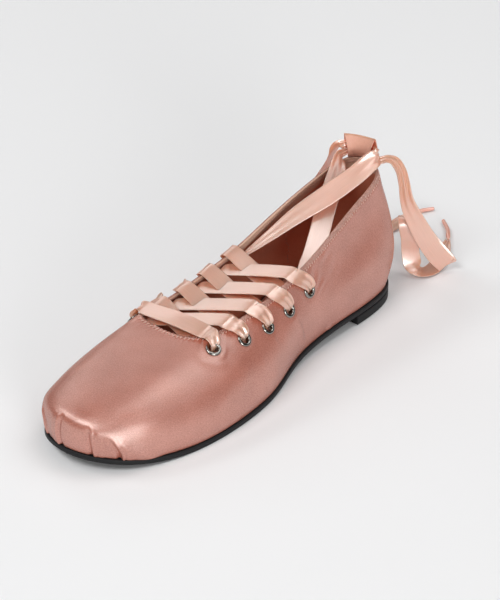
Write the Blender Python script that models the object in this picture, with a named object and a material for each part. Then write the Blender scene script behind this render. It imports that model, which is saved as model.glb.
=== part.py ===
"""Lace-up flat, left shoe: satin upper, thin sole, low heel, ten eyelets and a ribbon lace.

Metres, +Z up, +X to the toe, +Y to the outer (lateral) side. The origin is on the floor under the
middle of the heel. The upper is one shell, lofted from a closed row of sections round the foot.
"""

import math

import bmesh
import bpy
import numpy as np
from mathutils import Vector

MM = 0.001

# Driving dimensions, in millimetres
SOLE_THICKNESS = 3.2
HEEL_LIFT = 6.0  # height of the heel block with its gap under the outsole
HEEL_BREAST_X = 22.0
HEEL_TAPER = 0.8
FOREFOOT_FLAT_START = 112.0
FOREFOOT_FLAT_END = 165.0
TOE_TIP_X = 222.4
TOE_SPRING = 7.1
SOLE_MARGIN = 1.2  # the outsole's edge beyond the feather line
GAP = 0.3
WALL = 1.8
INSOLE_THICKNESS = 1.5
INSOLE_CLEARANCE = 0.7
LOW_WALL_RISE = 7.0  # the wall leaves the sole almost upright
LOW_WALL_OUT = 2.0

EYELET_COUNT = 5
EYELET_FIRST_X = 138.6
EYELET_PITCH = {"lateral": 19.4, "medial": 18.8}
EYELET_FIRST_DROP = 10.5  # below the topline, along the wall
EYELET_DROP_STEP = 0.9
EYELET_BORE_RADIUS = 2.4
EYELET_BARREL_RADIUS = 2.9
EYELET_HOLE_RADIUS = 3.3
EYELET_FLANGE_RADIUS = 4.3
EYELET_FLANGE_GAP = 0.8
EYELET_FLANGE_HEIGHT = 0.8
EYELET_WASHER_HEIGHT = 0.5
EYELET_SIDES = 16
HOLE_CUTTER_EXTRA = 3.0

RIBBON_WIDTH = 11.5
RIBBON_THICKNESS = 0.8
RIBBON_PINCHED_WIDTH = 5.0
ROUTE_SAMPLES = 3  # points of a cord's route for each row of its table
BAR_SAMPLES = 4
BAR_OUTSIDE = 3.2  # centre of a bar's end beyond the wall's outer face
BAR_INSIDE = 3.4
BAR_EDGE_SHARE = {"lateral": 0.2, "medial": 0.42}  # where it crosses the edge, between its eyelets
BAR_OVER_EDGE = 1.7
BAR_UNDER_SHARE = 0.15
BAR_UNDER_EDGE = 6.2
BAR_UNDER_NARROWING = 0.72
BAR_SHOULDER = (0.62, 0.62, 0.9)  # from the edge to the middle, along each axis
BAR_SAG = 1.8
BAR_LIFT = {"lateral": 0.25, "medial": -0.25}
EDGE_SLOPE = 0.2
FRONT_BAR_BACK = 5.5
FRONT_BAR_FORWARD = 2.5
FRONT_BAR_RISE = 3.6
FRONT_BAR_ARCH = 1.0
TIP_RADIUS = 1.3

LOOP_BASE_WIDTH = 17.0
LOOP_TOP_WIDTH = 22.0
LOOP_THICKNESS = 0.9
LOOP_CENTRE_Y = -3.6
LOOP_HEIGHT = 13.0
LOOP_CROWN = 5.2  # across the fold, between the tape's middles
LOOP_INWARD = 0.9  # its middle from the collar's outer edge
LOOP_FOOT = 2.0  # across its feet
LOOP_FOOT_RISE = 0.55
LOOP_SPREAD_RISE = 4.0

AROUND = 72
ACROSS = 11

# A row for each section round the foot, from the back of the heel along the outer side to the toe
# and home along the inner side. footX, footY: where the upper meets the sole. bulgeOut, bulgeUp:
# the side's control point from there. reach, dip: the control point below the topline, as a share of
# the way out to the foot of the section, and its depth. topX, topY, topZ: the topline.
SECTION_COLUMNS = ("footX", "footY", "bulgeOut", "bulgeUp", "reach", "dip", "flare", "topX", "topY", "topZ")
SECTIONS = (
    (-27.0, 0.0, 7.0, 26.0, 0.0, 20.0, 6.0, -24.5, -1.0, 79.0),
    (-18.0, 20.5, 7.0, 26.0, 0.0, 20.0, 5.0, -19.0, 12.0, 76.5),
    (8.0, 27.5, 6.0, 26.0, 0.0, 20.0, 3.0, 6.0, 18.0, 71.0),
    (42.0, 27.0, 6.0, 24.0, 0.0, 18.0, 3.0, 40.0, 21.5, 61.5),
    (74.0, 29.0, 6.0, 24.0, 0.1, 14.0, 4.0, 70.0, 23.0, 54.0),
    (104.0, 37.5, 4.0, 24.0, 0.2, 10.0, 3.0, 97.0, 23.0, 49.8),
    (134.0, 41.0, 2.0, 24.0, 0.4, 8.0, 1.0, 119.0, 21.5, 48.0),
    (164.0, 39.0, 0.0, 23.0, 0.5, 7.0, 0.0, 134.5, 17.0, 45.5),
    (190.0, 31.5, 0.0, 23.0, 0.58, 7.0, 0.0, 140.5, 9.5, 44.0),
    (211.0, 18.0, 1.0, 23.0, 0.66, 8.0, 0.0, 142.0, 1.0, 43.3),
    (221.5, -4.0, 2.0, 22.0, 0.7, 9.0, 0.0, 142.0, -7.0, 42.8),
    (214.5, -27.0, 2.0, 22.0, 0.64, 8.0, 0.0, 141.8, -15.0, 42.5),
    (195.5, -38.2, 1.0, 22.0, 0.56, 7.0, 0.0, 141.0, -23.0, 42.3),
    (168.0, -41.0, 1.0, 23.0, 0.5, 7.0, 0.0, 136.0, -27.5, 43.0),
    (138.0, -40.0, 2.0, 23.0, 0.4, 8.0, 1.0, 118.0, -26.0, 44.6),
    (108.0, -30.5, 5.0, 24.0, 0.2, 10.0, 4.0, 97.0, -24.5, 47.0),
    (76.0, -20.6, 8.0, 24.0, 0.0, 14.0, 5.0, 70.0, -22.5, 52.0),
    (42.0, -23.0, 7.0, 24.0, 0.0, 18.0, 3.0, 40.0, -20.5, 61.0),
    (8.0, -27.0, 6.0, 26.0, 0.0, 20.0, 3.0, 6.0, -17.0, 71.5),
    (-18.0, -20.5, 7.0, 26.0, 0.0, 20.0, 5.0, -18.5, -12.5, 77.0),
)
SECTION = {name: np.array([row[i] for row in SECTIONS]) for i, name in enumerate(SECTION_COLUMNS)}

# Routes of the ribbon's free ends: the centre line, the direction across the ribbon, and its width.
ROUTE_COLUMNS = ("x", "y", "z", "acrossX", "acrossY", "acrossZ", "width")
MEDIAL_END = (
    (57.0, -17.6, 49.5, 0.0, 0.69, -0.72, 6.0),
    (44.0, -13.0, 55.5, 0.0, 0.69, -0.72, 9.0),
    (28.0, -7.5, 63.0, 0.0, 0.69, -0.72, 11.5),
    (10.0, 0.3, 71.0, 0.0, 0.69, -0.72, 11.5),
    (-5.0, 6.2, 78.0, 0.0, 0.69, -0.72, 11.0),
    (-15.0, 9.6, 83.8, 0.05, 0.55, -0.83, 8.5),
    (-19.4, 10.9, 86.4, 0.1, 0.3, -0.95, 5.5),
    (-21.6, 9.4, 87.0, 0.0, 0.0, -1.0, 4.2),
    (-22.3, 6.8, 86.8, 0.0, 0.0, -1.0, 4.2),
    (-23.1, 4.1, 87.3, 0.0, 0.0, -1.0, 4.2),
    (-23.4, -3.5, 87.8, 0.0, 0.0, -1.0, 4.2),
    (-20.4, -10.1, 86.5, 0.0, 0.0, -1.0, 4.2),
    (-17.8, -12.3, 85.9, 0.0, 0.0, -1.0, 4.2),
    (-16.3, -15.4, 84.2, -0.4, -0.3, -0.85, 5.5),
    (-16.4, -18.4, 78.5, -0.75, -0.3, -0.55, 9.0),
    (-14.5, -21.2, 70.5, -0.88, -0.2, -0.42, 11.5),
    (-9.5, -25.8, 59.0, -0.9, -0.17, -0.42, 11.5),
    (-5.0, -32.5, 44.0, -0.93, -0.1, -0.35, 11.5),
    (-4.0, -38.5, 27.0, -0.96, 0.1, -0.25, 11.5),
    (-8.0, -43.0, 12.0, -0.8, 0.5, -0.35, 11.5),
    (-18.0, -46.0, 3.0, -0.15, 0.98, -0.05, 11.5),
    (-34.0, -44.5, 1.2, 0.2, 0.97, 0.0, 11.5),
    (-50.0, -37.0, 1.2, 0.5, 0.86, 0.0, 11.5),
    (-64.0, -27.5, 1.2, 0.45, 0.9, 0.0, 11.5),
    (-78.0, -21.5, 1.2, 0.1, 0.99, 0.0, 10.0),
    (-91.0, -21.3, 1.4, -0.1, 0.99, 0.0, 6.5),
    (-100.0, -19.5, 1.6, 0.25, 0.97, 0.0, 3.0),
)
MEDIAL_TIP = ((-101.0, -19.2, 1.6), (-105.5, -17.2, 1.6), (-110.5, -14.0, 1.6))
LATERAL_END = (
    (56.5, 18.0, 43.5, -0.5, 0.82, -0.28, 7.0),
    (47.0, 14.3, 46.0, -0.5, 0.82, -0.28, 10.0),
    (36.0, 10.3, 48.7, -0.5, 0.82, -0.28, 11.5),
    (22.0, 3.6, 54.5, -0.5, 0.82, -0.28, 11.5),
    (10.0, -2.0, 61.5, -0.5, 0.82, -0.28, 11.5),
    (0.0, -5.4, 68.0, -0.5, 0.82, -0.3, 10.0),
    (-8.5, -8.4, 75.5, -0.4, 0.7, -0.6, 7.5),
    (-13.5, -11.4, 79.8, -0.2, 0.2, -0.96, 5.2),
    (-17.0, -12.2, 80.8, 0.0, 0.0, -1.0, 4.2),
    (-20.4, -10.1, 81.4, 0.0, 0.0, -1.0, 4.2),
    (-23.4, -3.5, 82.7, 0.0, 0.0, -1.0, 4.2),
    (-23.1, 4.1, 82.2, 0.0, 0.0, -1.0, 4.2),
    (-22.4, 7.2, 81.7, 0.0, 0.0, -1.0, 4.2),
    (-23.6, 10.0, 81.6, 0.05, -0.05, -1.0, 4.6),
    (-27.6, 12.0, 81.6, 0.4, -0.4, -0.82, 6.0),
    (-32.0, 13.8, 78.5, 0.7, -0.55, -0.45, 7.2),
    (-35.5, 15.6, 71.2, 0.75, -0.58, -0.32, 7.6),
    (-37.5, 16.6, 62.2, 0.75, -0.58, -0.32, 8.2),
    (-39.5, 17.2, 51.4, 0.75, -0.58, -0.32, 9.5),
    (-42.5, 18.8, 42.0, 0.72, -0.56, -0.4, 11.0),
    (-47.5, 23.0, 28.0, 0.69, -0.53, -0.49, 11.5),
    (-53.0, 28.2, 14.5, 0.69, -0.53, -0.49, 11.5),
    (-57.4, 32.0, 7.2, 0.69, -0.53, -0.49, 11.5),
    (-59.3, 33.2, 4.8, 0.69, -0.53, -0.49, 11.5),
    (-60.2, 31.8, 5.6, 0.69, -0.53, -0.49, 11.5),
    (-58.6, 27.4, 10.5, 0.69, -0.53, -0.45, 11.5),
    (-55.8, 21.6, 18.0, 0.67, -0.6, -0.4, 11.5),
    (-52.4, 16.4, 27.0, 0.66, -0.68, -0.3, 11.5),
    (-49.0, 13.6, 33.0, 0.66, -0.73, -0.1, 11.5),
    (-46.4, 13.4, 34.2, 0.66, -0.75, 0.0, 11.5),
    (-44.6, 15.2, 30.5, 0.66, -0.75, 0.05, 11.0),
    (-45.0, 16.4, 23.0, 0.67, -0.74, 0.0, 10.5),
    (-45.6, 16.6, 14.0, 0.75, -0.66, -0.05, 10.5),
    (-45.6, 18.6, 6.5, 0.85, -0.45, -0.2, 11.0),
    (-46.8, 22.6, 2.6, 0.92, 0.35, 0.0, 11.0),
    (-51.5, 25.6, 1.3, 0.4, 0.92, 0.0, 10.5),
    (-59.0, 25.3, 1.1, -0.1, 0.99, 0.0, 10.0),
    (-68.0, 22.3, 1.1, -0.4, 0.92, 0.0, 9.5),
    (-79.0, 17.0, 1.2, -0.5, 0.86, 0.0, 7.0),
    (-86.0, 14.0, 1.6, -0.4, 0.92, 0.0, 3.0),
)
LATERAL_TIP = ((-87.0, 13.6, 1.6), (-95.5, 7.0, 1.6), (-103.0, -2.0, 1.6))


def clear_scene():
    for old in list(bpy.data.objects):
        bpy.data.objects.remove(old)


def principled(name, colour, roughness, metallic=0.0):
    material = bpy.data.materials.new(name)
    material.use_nodes = True
    shader = material.node_tree.nodes["Principled BSDF"]
    shader.inputs["Base Color"].default_value = (*colour, 1.0)
    shader.inputs["Roughness"].default_value = roughness
    shader.inputs["Metallic"].default_value = metallic
    return material


def solid(name, points, faces, material):
    """One closed mesh object from points in millimetres."""
    mesh = bpy.data.meshes.new(name)
    mesh.from_pydata([tuple(p) for p in np.asarray(points, float) * MM], [], faces)
    work = bmesh.new()
    work.from_mesh(mesh)
    bmesh.ops.recalc_face_normals(work, faces=work.faces)
    work.to_mesh(mesh)
    work.free()
    mesh.shade_smooth()
    mesh.set_sharp_from_angle(angle=math.radians(35.0))
    mesh.materials.append(material)
    thing = bpy.data.objects.new(name, mesh)
    bpy.context.scene.collection.objects.link(thing)
    return thing


def boolean(target, other, operation):
    """Applies one exact Boolean and removes the other object."""
    modifier = target.modifiers.new(operation.title(), "BOOLEAN")
    modifier.operation = operation
    modifier.solver = "EXACT"
    modifier.object = other
    graph = bpy.context.evaluated_depsgraph_get()
    result = bpy.data.meshes.new_from_object(target.evaluated_get(graph))
    target.modifiers.clear()
    target.data = result
    bpy.data.objects.remove(other)


def closed_spline(knots, values, u):
    """The smooth closed curve through values: a cubic between knots, with equal bends where they meet."""
    count = len(values)
    step = np.diff(knots)
    before = np.roll(step, 1)
    index = np.arange(count)
    system = np.zeros((count, count))
    system[index, index] = 2 * (step + before)
    system[index, (index - 1) % count] += step
    system[index, (index + 1) % count] += before
    rise = (np.roll(values, -1) - values) / step
    slope = np.linalg.solve(system, 3 * (step * np.roll(rise, 1) + before * rise))
    u = np.mod(u, knots[-1])
    k = np.clip(np.searchsorted(knots, u, side="right") - 1, 0, count - 1)
    t = (u - knots[k]) / step[k]
    after = (k + 1) % count
    start = (2 * t**3 - 3 * t**2 + 1) * values[k] + (t**3 - 2 * t**2 + t) * step[k] * slope[k]
    end = (3 * t**2 - 2 * t**3) * values[after] + (t**3 - t**2) * step[k] * slope[after]
    return start + end


FOOT = np.column_stack([SECTION["footX"], SECTION["footY"]])
STEPS = np.linalg.norm(np.roll(FOOT, -1, axis=0) - FOOT, axis=1)
KNOTS = np.concatenate([[0.0], np.cumsum(STEPS)])
ROUND_LENGTH = KNOTS[-1]


def section_value(name, u):
    return closed_spline(KNOTS, SECTION[name], u)


def foot_line(u):
    """Points of the feather line in plan, and the outward direction at each."""
    step = 0.05
    place = np.column_stack([section_value("footX", u), section_value("footY", u)])
    run = np.column_stack(
        [
            section_value(name, u + step) - section_value(name, u - step)
            for name in ("footX", "footY")
        ]
    )
    run /= np.linalg.norm(run, axis=1, keepdims=True)
    return place, np.column_stack([-run[:, 1], run[:, 0]])


def sole_top(x):
    """Height of the outsole's top face: level on the heel, down the arch, level, then the toe spring."""
    x = np.asarray(x, float)
    down = np.clip((x - HEEL_BREAST_X) / (FOREFOOT_FLAT_START - HEEL_BREAST_X), 0, 1)
    arch = HEEL_LIFT * (1 - down * down * (3 - 2 * down))
    up = np.clip((x - FOREFOOT_FLAT_END) / (TOE_TIP_X - FOREFOOT_FLAT_END), 0, None)
    return SOLE_THICKNESS + arch + TOE_SPRING * up**2


def bezier(p0, p1, p2, p3, t):
    t = t[None, :, None]
    p0, p1, p2, p3 = (p[:, None, :] for p in (p0, p1, p2, p3))
    return (1 - t) ** 3 * p0 + 3 * (1 - t) ** 2 * t * p1 + 3 * (1 - t) * t**2 * p2 + t**3 * p3


def upper_outside(u, v):
    """The outer face: v runs from 0 at the sole to 1 at the topline, in two arcs that meet smoothly."""
    foot, out = foot_line(u)
    level = sole_top(foot[:, 0]) + GAP
    bottom = np.column_stack([foot, level])
    low = np.column_stack([foot + out * LOW_WALL_OUT, level + LOW_WALL_RISE])
    bulge = section_value("bulgeOut", u)[:, None]
    side = np.column_stack([foot + out * bulge, level + section_value("bulgeUp", u)])
    top = np.column_stack([section_value(name, u) for name in ("topX", "topY", "topZ")])
    reach = section_value("reach", u)[:, None]
    flare = section_value("flare", u)[:, None]
    high_plan = top[:, :2] + (foot - top[:, :2]) * reach + out * flare
    high = np.column_stack([high_plan, top[:, 2] - section_value("dip", u)])
    before, after = (low + side) / 2, (side + high) / 2
    middle = (before + after) / 2
    lower = v <= 0.5
    points = np.empty((len(u), len(v), 3))
    points[:, lower] = bezier(bottom, low, before, middle, v[lower] * 2)
    points[:, ~lower] = bezier(middle, after, high, top, v[~lower] * 2 - 1)
    return points


def upper_normals(u, v):
    step = 0.05
    nudge = 1e-3
    along = upper_outside(u + step, v) - upper_outside(u - step, v)
    up = upper_outside(u, np.clip(v + nudge, 0, 1)) - upper_outside(u, np.clip(v - nudge, 0, 1))
    normal = np.cross(up, along)
    return normal / np.linalg.norm(normal, axis=2, keepdims=True)


def grid_faces(rows, columns, closed, start=0):
    """Quads of a grid of points, joined end to end along its rows where closed."""
    faces = []
    for i in range(rows if closed else rows - 1):
        a, b = start + i * columns, start + (i + 1) % rows * columns
        faces += [(a + j, b + j, b + j + 1, a + j + 1) for j in range(columns - 1)]
    return faces


def place_on_wall(side, x, drop):
    """The outer wall's point and normal at this x, this far below the topline along the wall."""
    sign = 1.0 if side == "lateral" else -1.0
    u = np.linspace(0, ROUND_LENGTH, 900, endpoint=False)
    v = np.linspace(0, 1, 61)
    points = upper_outside(u, v)
    steps = np.linalg.norm(np.diff(points[:, ::-1], axis=1), axis=2)
    depth = np.concatenate([np.zeros((len(u), 1)), np.cumsum(steps, axis=1)], axis=1)
    level = np.array([np.interp(drop, depth[i], v[::-1]) for i in range(len(u))])
    found = np.array([upper_outside(u[i : i + 1], level[i : i + 1])[0, 0] for i in range(len(u))])
    wrong_side = np.where(found[:, 1] * sign > 5, 0.0, 1e3)
    best = int(np.argmin(np.abs(found[:, 0] - x) + wrong_side))
    normal = upper_normals(u[best : best + 1], level[best : best + 1])[0, 0]
    return found[best], normal


def shell_between(outer, inner, closed):
    """Points and faces of the wall between two grids, closed along its edges."""
    rows, columns = outer.shape[:2]
    points = np.concatenate([outer.reshape(-1, 3), inner.reshape(-1, 3)])
    count = rows * columns
    faces = grid_faces(rows, columns, closed)
    faces += [face[::-1] for face in grid_faces(rows, columns, closed, count)]
    for i in range(rows if closed else rows - 1):
        a, b = i * columns, (i + 1) % rows * columns
        faces.append((b, a, a + count, b + count))
        faces.append((a + columns - 1, b + columns - 1, b + count + columns - 1, a + count + columns - 1))
    if not closed:
        last = (rows - 1) * columns
        for j in range(columns - 1):
            faces.append((j, j + 1, j + 1 + count, j + count))
            faces.append((last + j + 1, last + j, last + j + count, last + j + 1 + count))
    return points, faces


def make_upper(material, eyelets):
    u = np.linspace(0, ROUND_LENGTH, AROUND, endpoint=False)
    v = np.linspace(0, 1, ACROSS)
    outer = upper_outside(u, v)
    upper = solid("upper", *shell_between(outer, outer - upper_normals(u, v) * WALL, True), material)
    for place, normal in eyelets.values():
        boolean(upper, hole_cutter(place, normal), "DIFFERENCE")
    return upper


def turned(profile, place, axis):
    """Points and faces of a closed profile of (radius, height) turned about an axis."""
    sides = EYELET_SIDES
    frame = Vector(axis).to_track_quat("Z", "Y").to_matrix()
    points = []
    for i in range(sides):
        angle = 2 * math.pi * i / sides
        for radius, height in profile:
            spot = Vector((radius * math.cos(angle), radius * math.sin(angle), height))
            points.append(tuple(frame @ spot + Vector(place)))
    faces = grid_faces(sides, len(profile), True)
    last = len(profile) - 1
    for i in range(sides):
        a, b = i * len(profile), (i + 1) % sides * len(profile)
        faces.append((a + last, b + last, b, a))
    return points, faces


def hole_cutter(place, normal):
    sides = EYELET_SIDES
    frame = Vector(normal).to_track_quat("Z", "Y").to_matrix()
    points = []
    for height in (-WALL - HOLE_CUTTER_EXTRA, HOLE_CUTTER_EXTRA):
        for i in range(sides):
            angle = 2 * math.pi * i / sides
            plan = EYELET_HOLE_RADIUS * math.cos(angle), EYELET_HOLE_RADIUS * math.sin(angle)
            spot = Vector((*plan, height))
            points.append(tuple(frame @ spot + Vector(place)))
    faces = [tuple(reversed(range(sides))), tuple(range(sides, 2 * sides))]
    faces += [(i, (i + 1) % sides, sides + (i + 1) % sides, sides + i) for i in range(sides)]
    cutter = solid("hole_cutter", points, faces, bpy.data.materials["nickel"])
    cutter.hide_render = True
    cutter.display_type = "WIRE"
    return cutter


def make_eyelet(name, place, normal, material):
    """A spool: an outer flange, a barrel through the wall and a flange inside."""
    outside = EYELET_FLANGE_GAP
    inside = -WALL - EYELET_FLANGE_GAP
    rim = EYELET_FLANGE_RADIUS
    profile = (
        (EYELET_BORE_RADIUS, inside - EYELET_WASHER_HEIGHT),
        (rim - 0.3, inside - EYELET_WASHER_HEIGHT),
        (rim - 0.3, inside),
        (EYELET_BARREL_RADIUS, inside),
        (EYELET_BARREL_RADIUS, outside),
        (rim, outside),
        (rim - 0.3, outside + 0.45),
        (rim - 0.9, outside + EYELET_FLANGE_HEIGHT),
        (EYELET_BORE_RADIUS + 0.3, outside + EYELET_FLANGE_HEIGHT * 0.7),
        (EYELET_BORE_RADIUS, outside + 0.2),
    )
    return solid(name, *turned(profile, place, normal), material)


def outline_widths(x, margin):
    """The lateral and medial edges at x of the feather line moved outward by a margin."""
    u = np.linspace(0, ROUND_LENGTH, 1600, endpoint=False)
    foot, out = foot_line(u)
    edge = foot + out * margin
    back, tip = int(np.argmin(edge[:, 0])), int(np.argmax(edge[:, 0]))
    ring = np.roll(edge, -back, axis=0)
    split = (tip - back) % len(u)
    lateral = ring[: split + 1]
    medial = np.concatenate([ring[split:], ring[:1]])[::-1]
    return np.interp(x, *lateral.T), np.interp(x, *medial.T), edge[back], edge[tip]


def sole_stations(margin, start=None, end=None, count=34):
    """Places along the sole, closer together at its round ends."""
    _, _, back, tip = outline_widths(np.zeros(1), margin)
    low = back[0] if start is None else start
    high = tip[0] if end is None else end
    even = np.linspace(0, 1, count)
    round_start = 1 - np.cos(even * math.pi / 2)
    both = (1 - np.cos(even * math.pi)) / 2
    share = both if end is None else round_start
    return low + (high - low) * share


def slab(name, x, margin, bottom, top, material, taper=0.0):
    """A flat piece between two heights that follow x, cut to the sole's outline."""
    lateral, medial, _, _ = outline_widths(x, margin)
    low_lateral, low_medial, _, _ = outline_widths(np.clip(x + taper * (x < 0), x[0], None), margin - taper)
    rings = np.stack(
        [
            np.column_stack([x, lateral, top]),
            np.column_stack([x, medial, top]),
            np.column_stack([x, low_medial, bottom]),
            np.column_stack([x, low_lateral, bottom]),
        ],
        axis=1,
    )
    count = len(x)
    points = rings.reshape(-1, 3)
    faces = []
    for i in range(count - 1):
        a, b = i * 4, i * 4 + 4
        faces += [(a + j, b + j, b + (j + 1) % 4, a + (j + 1) % 4) for j in range(4)]
    faces.append((0, 1, 2, 3))
    faces.append(tuple(range((count - 1) * 4 + 3, (count - 1) * 4 - 1, -1)))
    return solid(name, points, faces, material)


def make_outsole(material):
    x = sole_stations(SOLE_MARGIN)[1:-1]
    x = np.unique(np.concatenate([x, [HEEL_BREAST_X, FOREFOOT_FLAT_START, FOREFOOT_FLAT_END]]))
    top = sole_top(x)
    return slab("outsole", x, SOLE_MARGIN, top - SOLE_THICKNESS, top, material)


def make_heel(material):
    x = sole_stations(SOLE_MARGIN, end=HEEL_BREAST_X, count=14)[1:]
    top = np.full(len(x), HEEL_LIFT - GAP)
    return slab("heel", x, SOLE_MARGIN, np.zeros(len(x)), top, material, taper=HEEL_TAPER)


def make_insole(material):
    margin = -WALL - INSOLE_CLEARANCE
    x = sole_stations(margin)[1:-1]
    bottom = sole_top(x) + GAP
    return slab("insole", x, margin, bottom, bottom + INSOLE_THICKNESS, material)


def smooth_route(rows, samples_per_span):
    """A curve through the rows by Catmull and Rom's cubic, with end tangents from the end spans."""
    rows = np.asarray(rows, float)
    padded = np.vstack([2 * rows[0] - rows[1], rows, 2 * rows[-1] - rows[-2]])
    pieces = []
    t = np.linspace(0, 1, samples_per_span, endpoint=False)[:, None]
    for a, b, c, d in zip(padded[:-3], padded[1:-2], padded[2:-1], padded[3:]):
        bend = (2 * a - 5 * b + 4 * c - d) * t**2 / 2
        pieces.append(b + (c - a) * t / 2 + bend + (3 * b - a - 3 * c + d) * t**3 / 2)
    return np.vstack([*pieces, rows[-1:]])


def ribbon(name, centre, across, width, thickness, material):
    """A flat band: a rectangle of this width and thickness carried along the centre line."""
    run = np.gradient(centre, axis=0)
    run /= np.linalg.norm(run, axis=1, keepdims=True)
    across = across - run * np.sum(across * run, axis=1, keepdims=True)
    across /= np.linalg.norm(across, axis=1, keepdims=True)
    face = np.cross(run, across)
    half = across * np.reshape(width, (-1, 1)) / 2
    deep = face * thickness / 2
    corners = (-half - deep, half - deep, half + deep, -half + deep)
    rings = np.stack([centre + corner for corner in corners], axis=1)
    count = len(centre)
    faces = []
    for i in range(count - 1):
        a, b = i * 4, i * 4 + 4
        faces += [(a + j, b + j, b + (j + 1) % 4, a + (j + 1) % 4) for j in range(4)]
    faces.append((3, 2, 1, 0))
    faces.append(tuple(range((count - 1) * 4, count * 4)))
    return solid(name, rings.reshape(-1, 3), faces, material)


def free_ribbon(name, rows, material):
    """A free end of the lace along its route."""
    route = smooth_route(rows, ROUTE_SAMPLES)
    at = {column: route[:, i] for i, column in enumerate(ROUTE_COLUMNS)}
    centre = np.column_stack([at["x"], at["y"], at["z"]])
    across = np.column_stack([at["acrossX"], at["acrossY"], at["acrossZ"]])
    return ribbon(name, centre, across, at["width"], RIBBON_THICKNESS, material)


def ribbon_tip(name, rows, material):
    """The rolled tip: a thin round tube with closed ends."""
    line = bpy.data.curves.new(name, "CURVE")
    line.dimensions = "3D"
    line.bevel_depth = TIP_RADIUS * MM
    line.bevel_resolution = 2
    line.use_fill_caps = True
    spline = line.splines.new("POLY")
    route = smooth_route(rows, ROUTE_SAMPLES)
    spline.points.add(len(route) - 1)
    for point, place in zip(spline.points, route * MM):
        point.co = (*place, 1.0)
    line.materials.append(material)
    thing = bpy.data.objects.new(name, line)
    bpy.context.scene.collection.objects.link(thing)
    return thing


def make_crossing(number, eyelets, material):
    """Two bars that cross: each from outside an eyelet, over the edge, to inside the one in front."""
    bars = []
    for side, other in (("lateral", "medial"), ("medial", "lateral")):
        start, start_normal = eyelets[side, number]
        end, end_normal = eyelets[other, number - 1]
        share = BAR_EDGE_SHARE[side]
        outside = start + start_normal * BAR_OUTSIDE
        inside = end - end_normal * (WALL + BAR_INSIDE)
        over = topline_near(side, (start + (end - start) * share)[0]) + np.array([0, 0, BAR_OVER_EDGE])
        under = topline_near(other, (end + (start - end) * BAR_UNDER_SHARE)[0])
        under = under * np.array([1, BAR_UNDER_NARROWING, 1]) - np.array([0, 0, BAR_UNDER_EDGE])
        middle = (over + under) / 2 + np.array([0, 0, BAR_LIFT[side] - BAR_SAG])
        shoulder = over + (middle - over) * np.array(BAR_SHOULDER)
        bars.append(lace_bar(f"bar_{side}", (outside, over, shoulder, middle, under, inside), material))
    boolean(bars[0], bars[1], "UNION")
    bars[0].name = f"lace_crossing_{number - 1}"


def lace_bar(name, rows, material):
    """A bar of ribbon, pinched at both ends, its width along the shoe and down with the edges."""
    route = smooth_route(rows, BAR_SAMPLES)
    last = len(route) - 1
    width = np.interp(
        np.arange(len(route)),
        (0, BAR_SAMPLES, last - BAR_SAMPLES, last),
        (RIBBON_PINCHED_WIDTH, RIBBON_WIDTH, RIBBON_WIDTH, RIBBON_PINCHED_WIDTH),
    )
    across = np.tile((1.0, 0.0, -EDGE_SLOPE), (len(route), 1))
    return ribbon(name, route, across, width, RIBBON_THICKNESS, material)


def topline_near(side, x):
    sign = 1.0 if side == "lateral" else -1.0
    u = np.linspace(0, ROUND_LENGTH, 900, endpoint=False)
    top = np.column_stack([section_value(name, u) for name in ("topX", "topY", "topZ")])
    misfit = np.abs(top[:, 0] - x) + np.where(top[:, 1] * sign > 5, 0.0, 1e3)
    return top[int(np.argmin(misfit))]


def make_front_bar(eyelets, material):
    """The first bar lies outside both edges."""
    left, left_normal = eyelets["lateral", 1]
    right, right_normal = eyelets["medial", 1]
    rise = np.array([FRONT_BAR_FORWARD, 0, FRONT_BAR_RISE])
    over_left = topline_near("lateral", left[0] - FRONT_BAR_BACK) + rise
    over_right = topline_near("medial", right[0] - FRONT_BAR_BACK) + rise
    middle = (over_left + over_right) / 2 + np.array([0, 0, FRONT_BAR_ARCH])
    ends = left + left_normal * BAR_OUTSIDE, right + right_normal * BAR_OUTSIDE
    lace_bar("lace_front_bar", (ends[0], over_left, middle, over_right, ends[1]), material)


def make_pull_loop(material):
    """A folded tape standing on the collar's back: up from the rim, over and down, wider at its top."""
    radius = LOOP_CROWN / 2
    shoulder = LOOP_HEIGHT - radius
    front = [(-LOOP_FOOT / 2, LOOP_FOOT_RISE), (-radius, LOOP_SPREAD_RISE), (-radius, shoulder)]
    crown = [
        (-radius * math.cos(angle), shoulder + radius * math.sin(angle))
        for angle in np.linspace(0, math.pi, 7)[1:-1]
    ]
    line = np.array(front + crown + [(-across, height) for across, height in reversed(front)])
    line[:, 0] += LOOP_INWARD
    run = np.gradient(line, axis=0)
    run /= np.linalg.norm(run, axis=1, keepdims=True)
    side = np.column_stack([-run[:, 1], run[:, 0]]) * LOOP_THICKNESS / 2
    share = np.linspace(-1, 1, 7)
    grids = []
    for profile in (line + side, line - side):
        height = profile[:, 1]
        width = LOOP_BASE_WIDTH + (LOOP_TOP_WIDTH - LOOP_BASE_WIDTH) * height / LOOP_HEIGHT
        rim, inward = rim_at(share[None, :] * width[:, None] / 2)
        up = np.array([0.0, 0.0, 1.0])
        grids.append(rim + inward * profile[:, :1, None] + up * height[:, None, None])
    solid("pull_loop", *shell_between(*grids, False), material)


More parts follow.
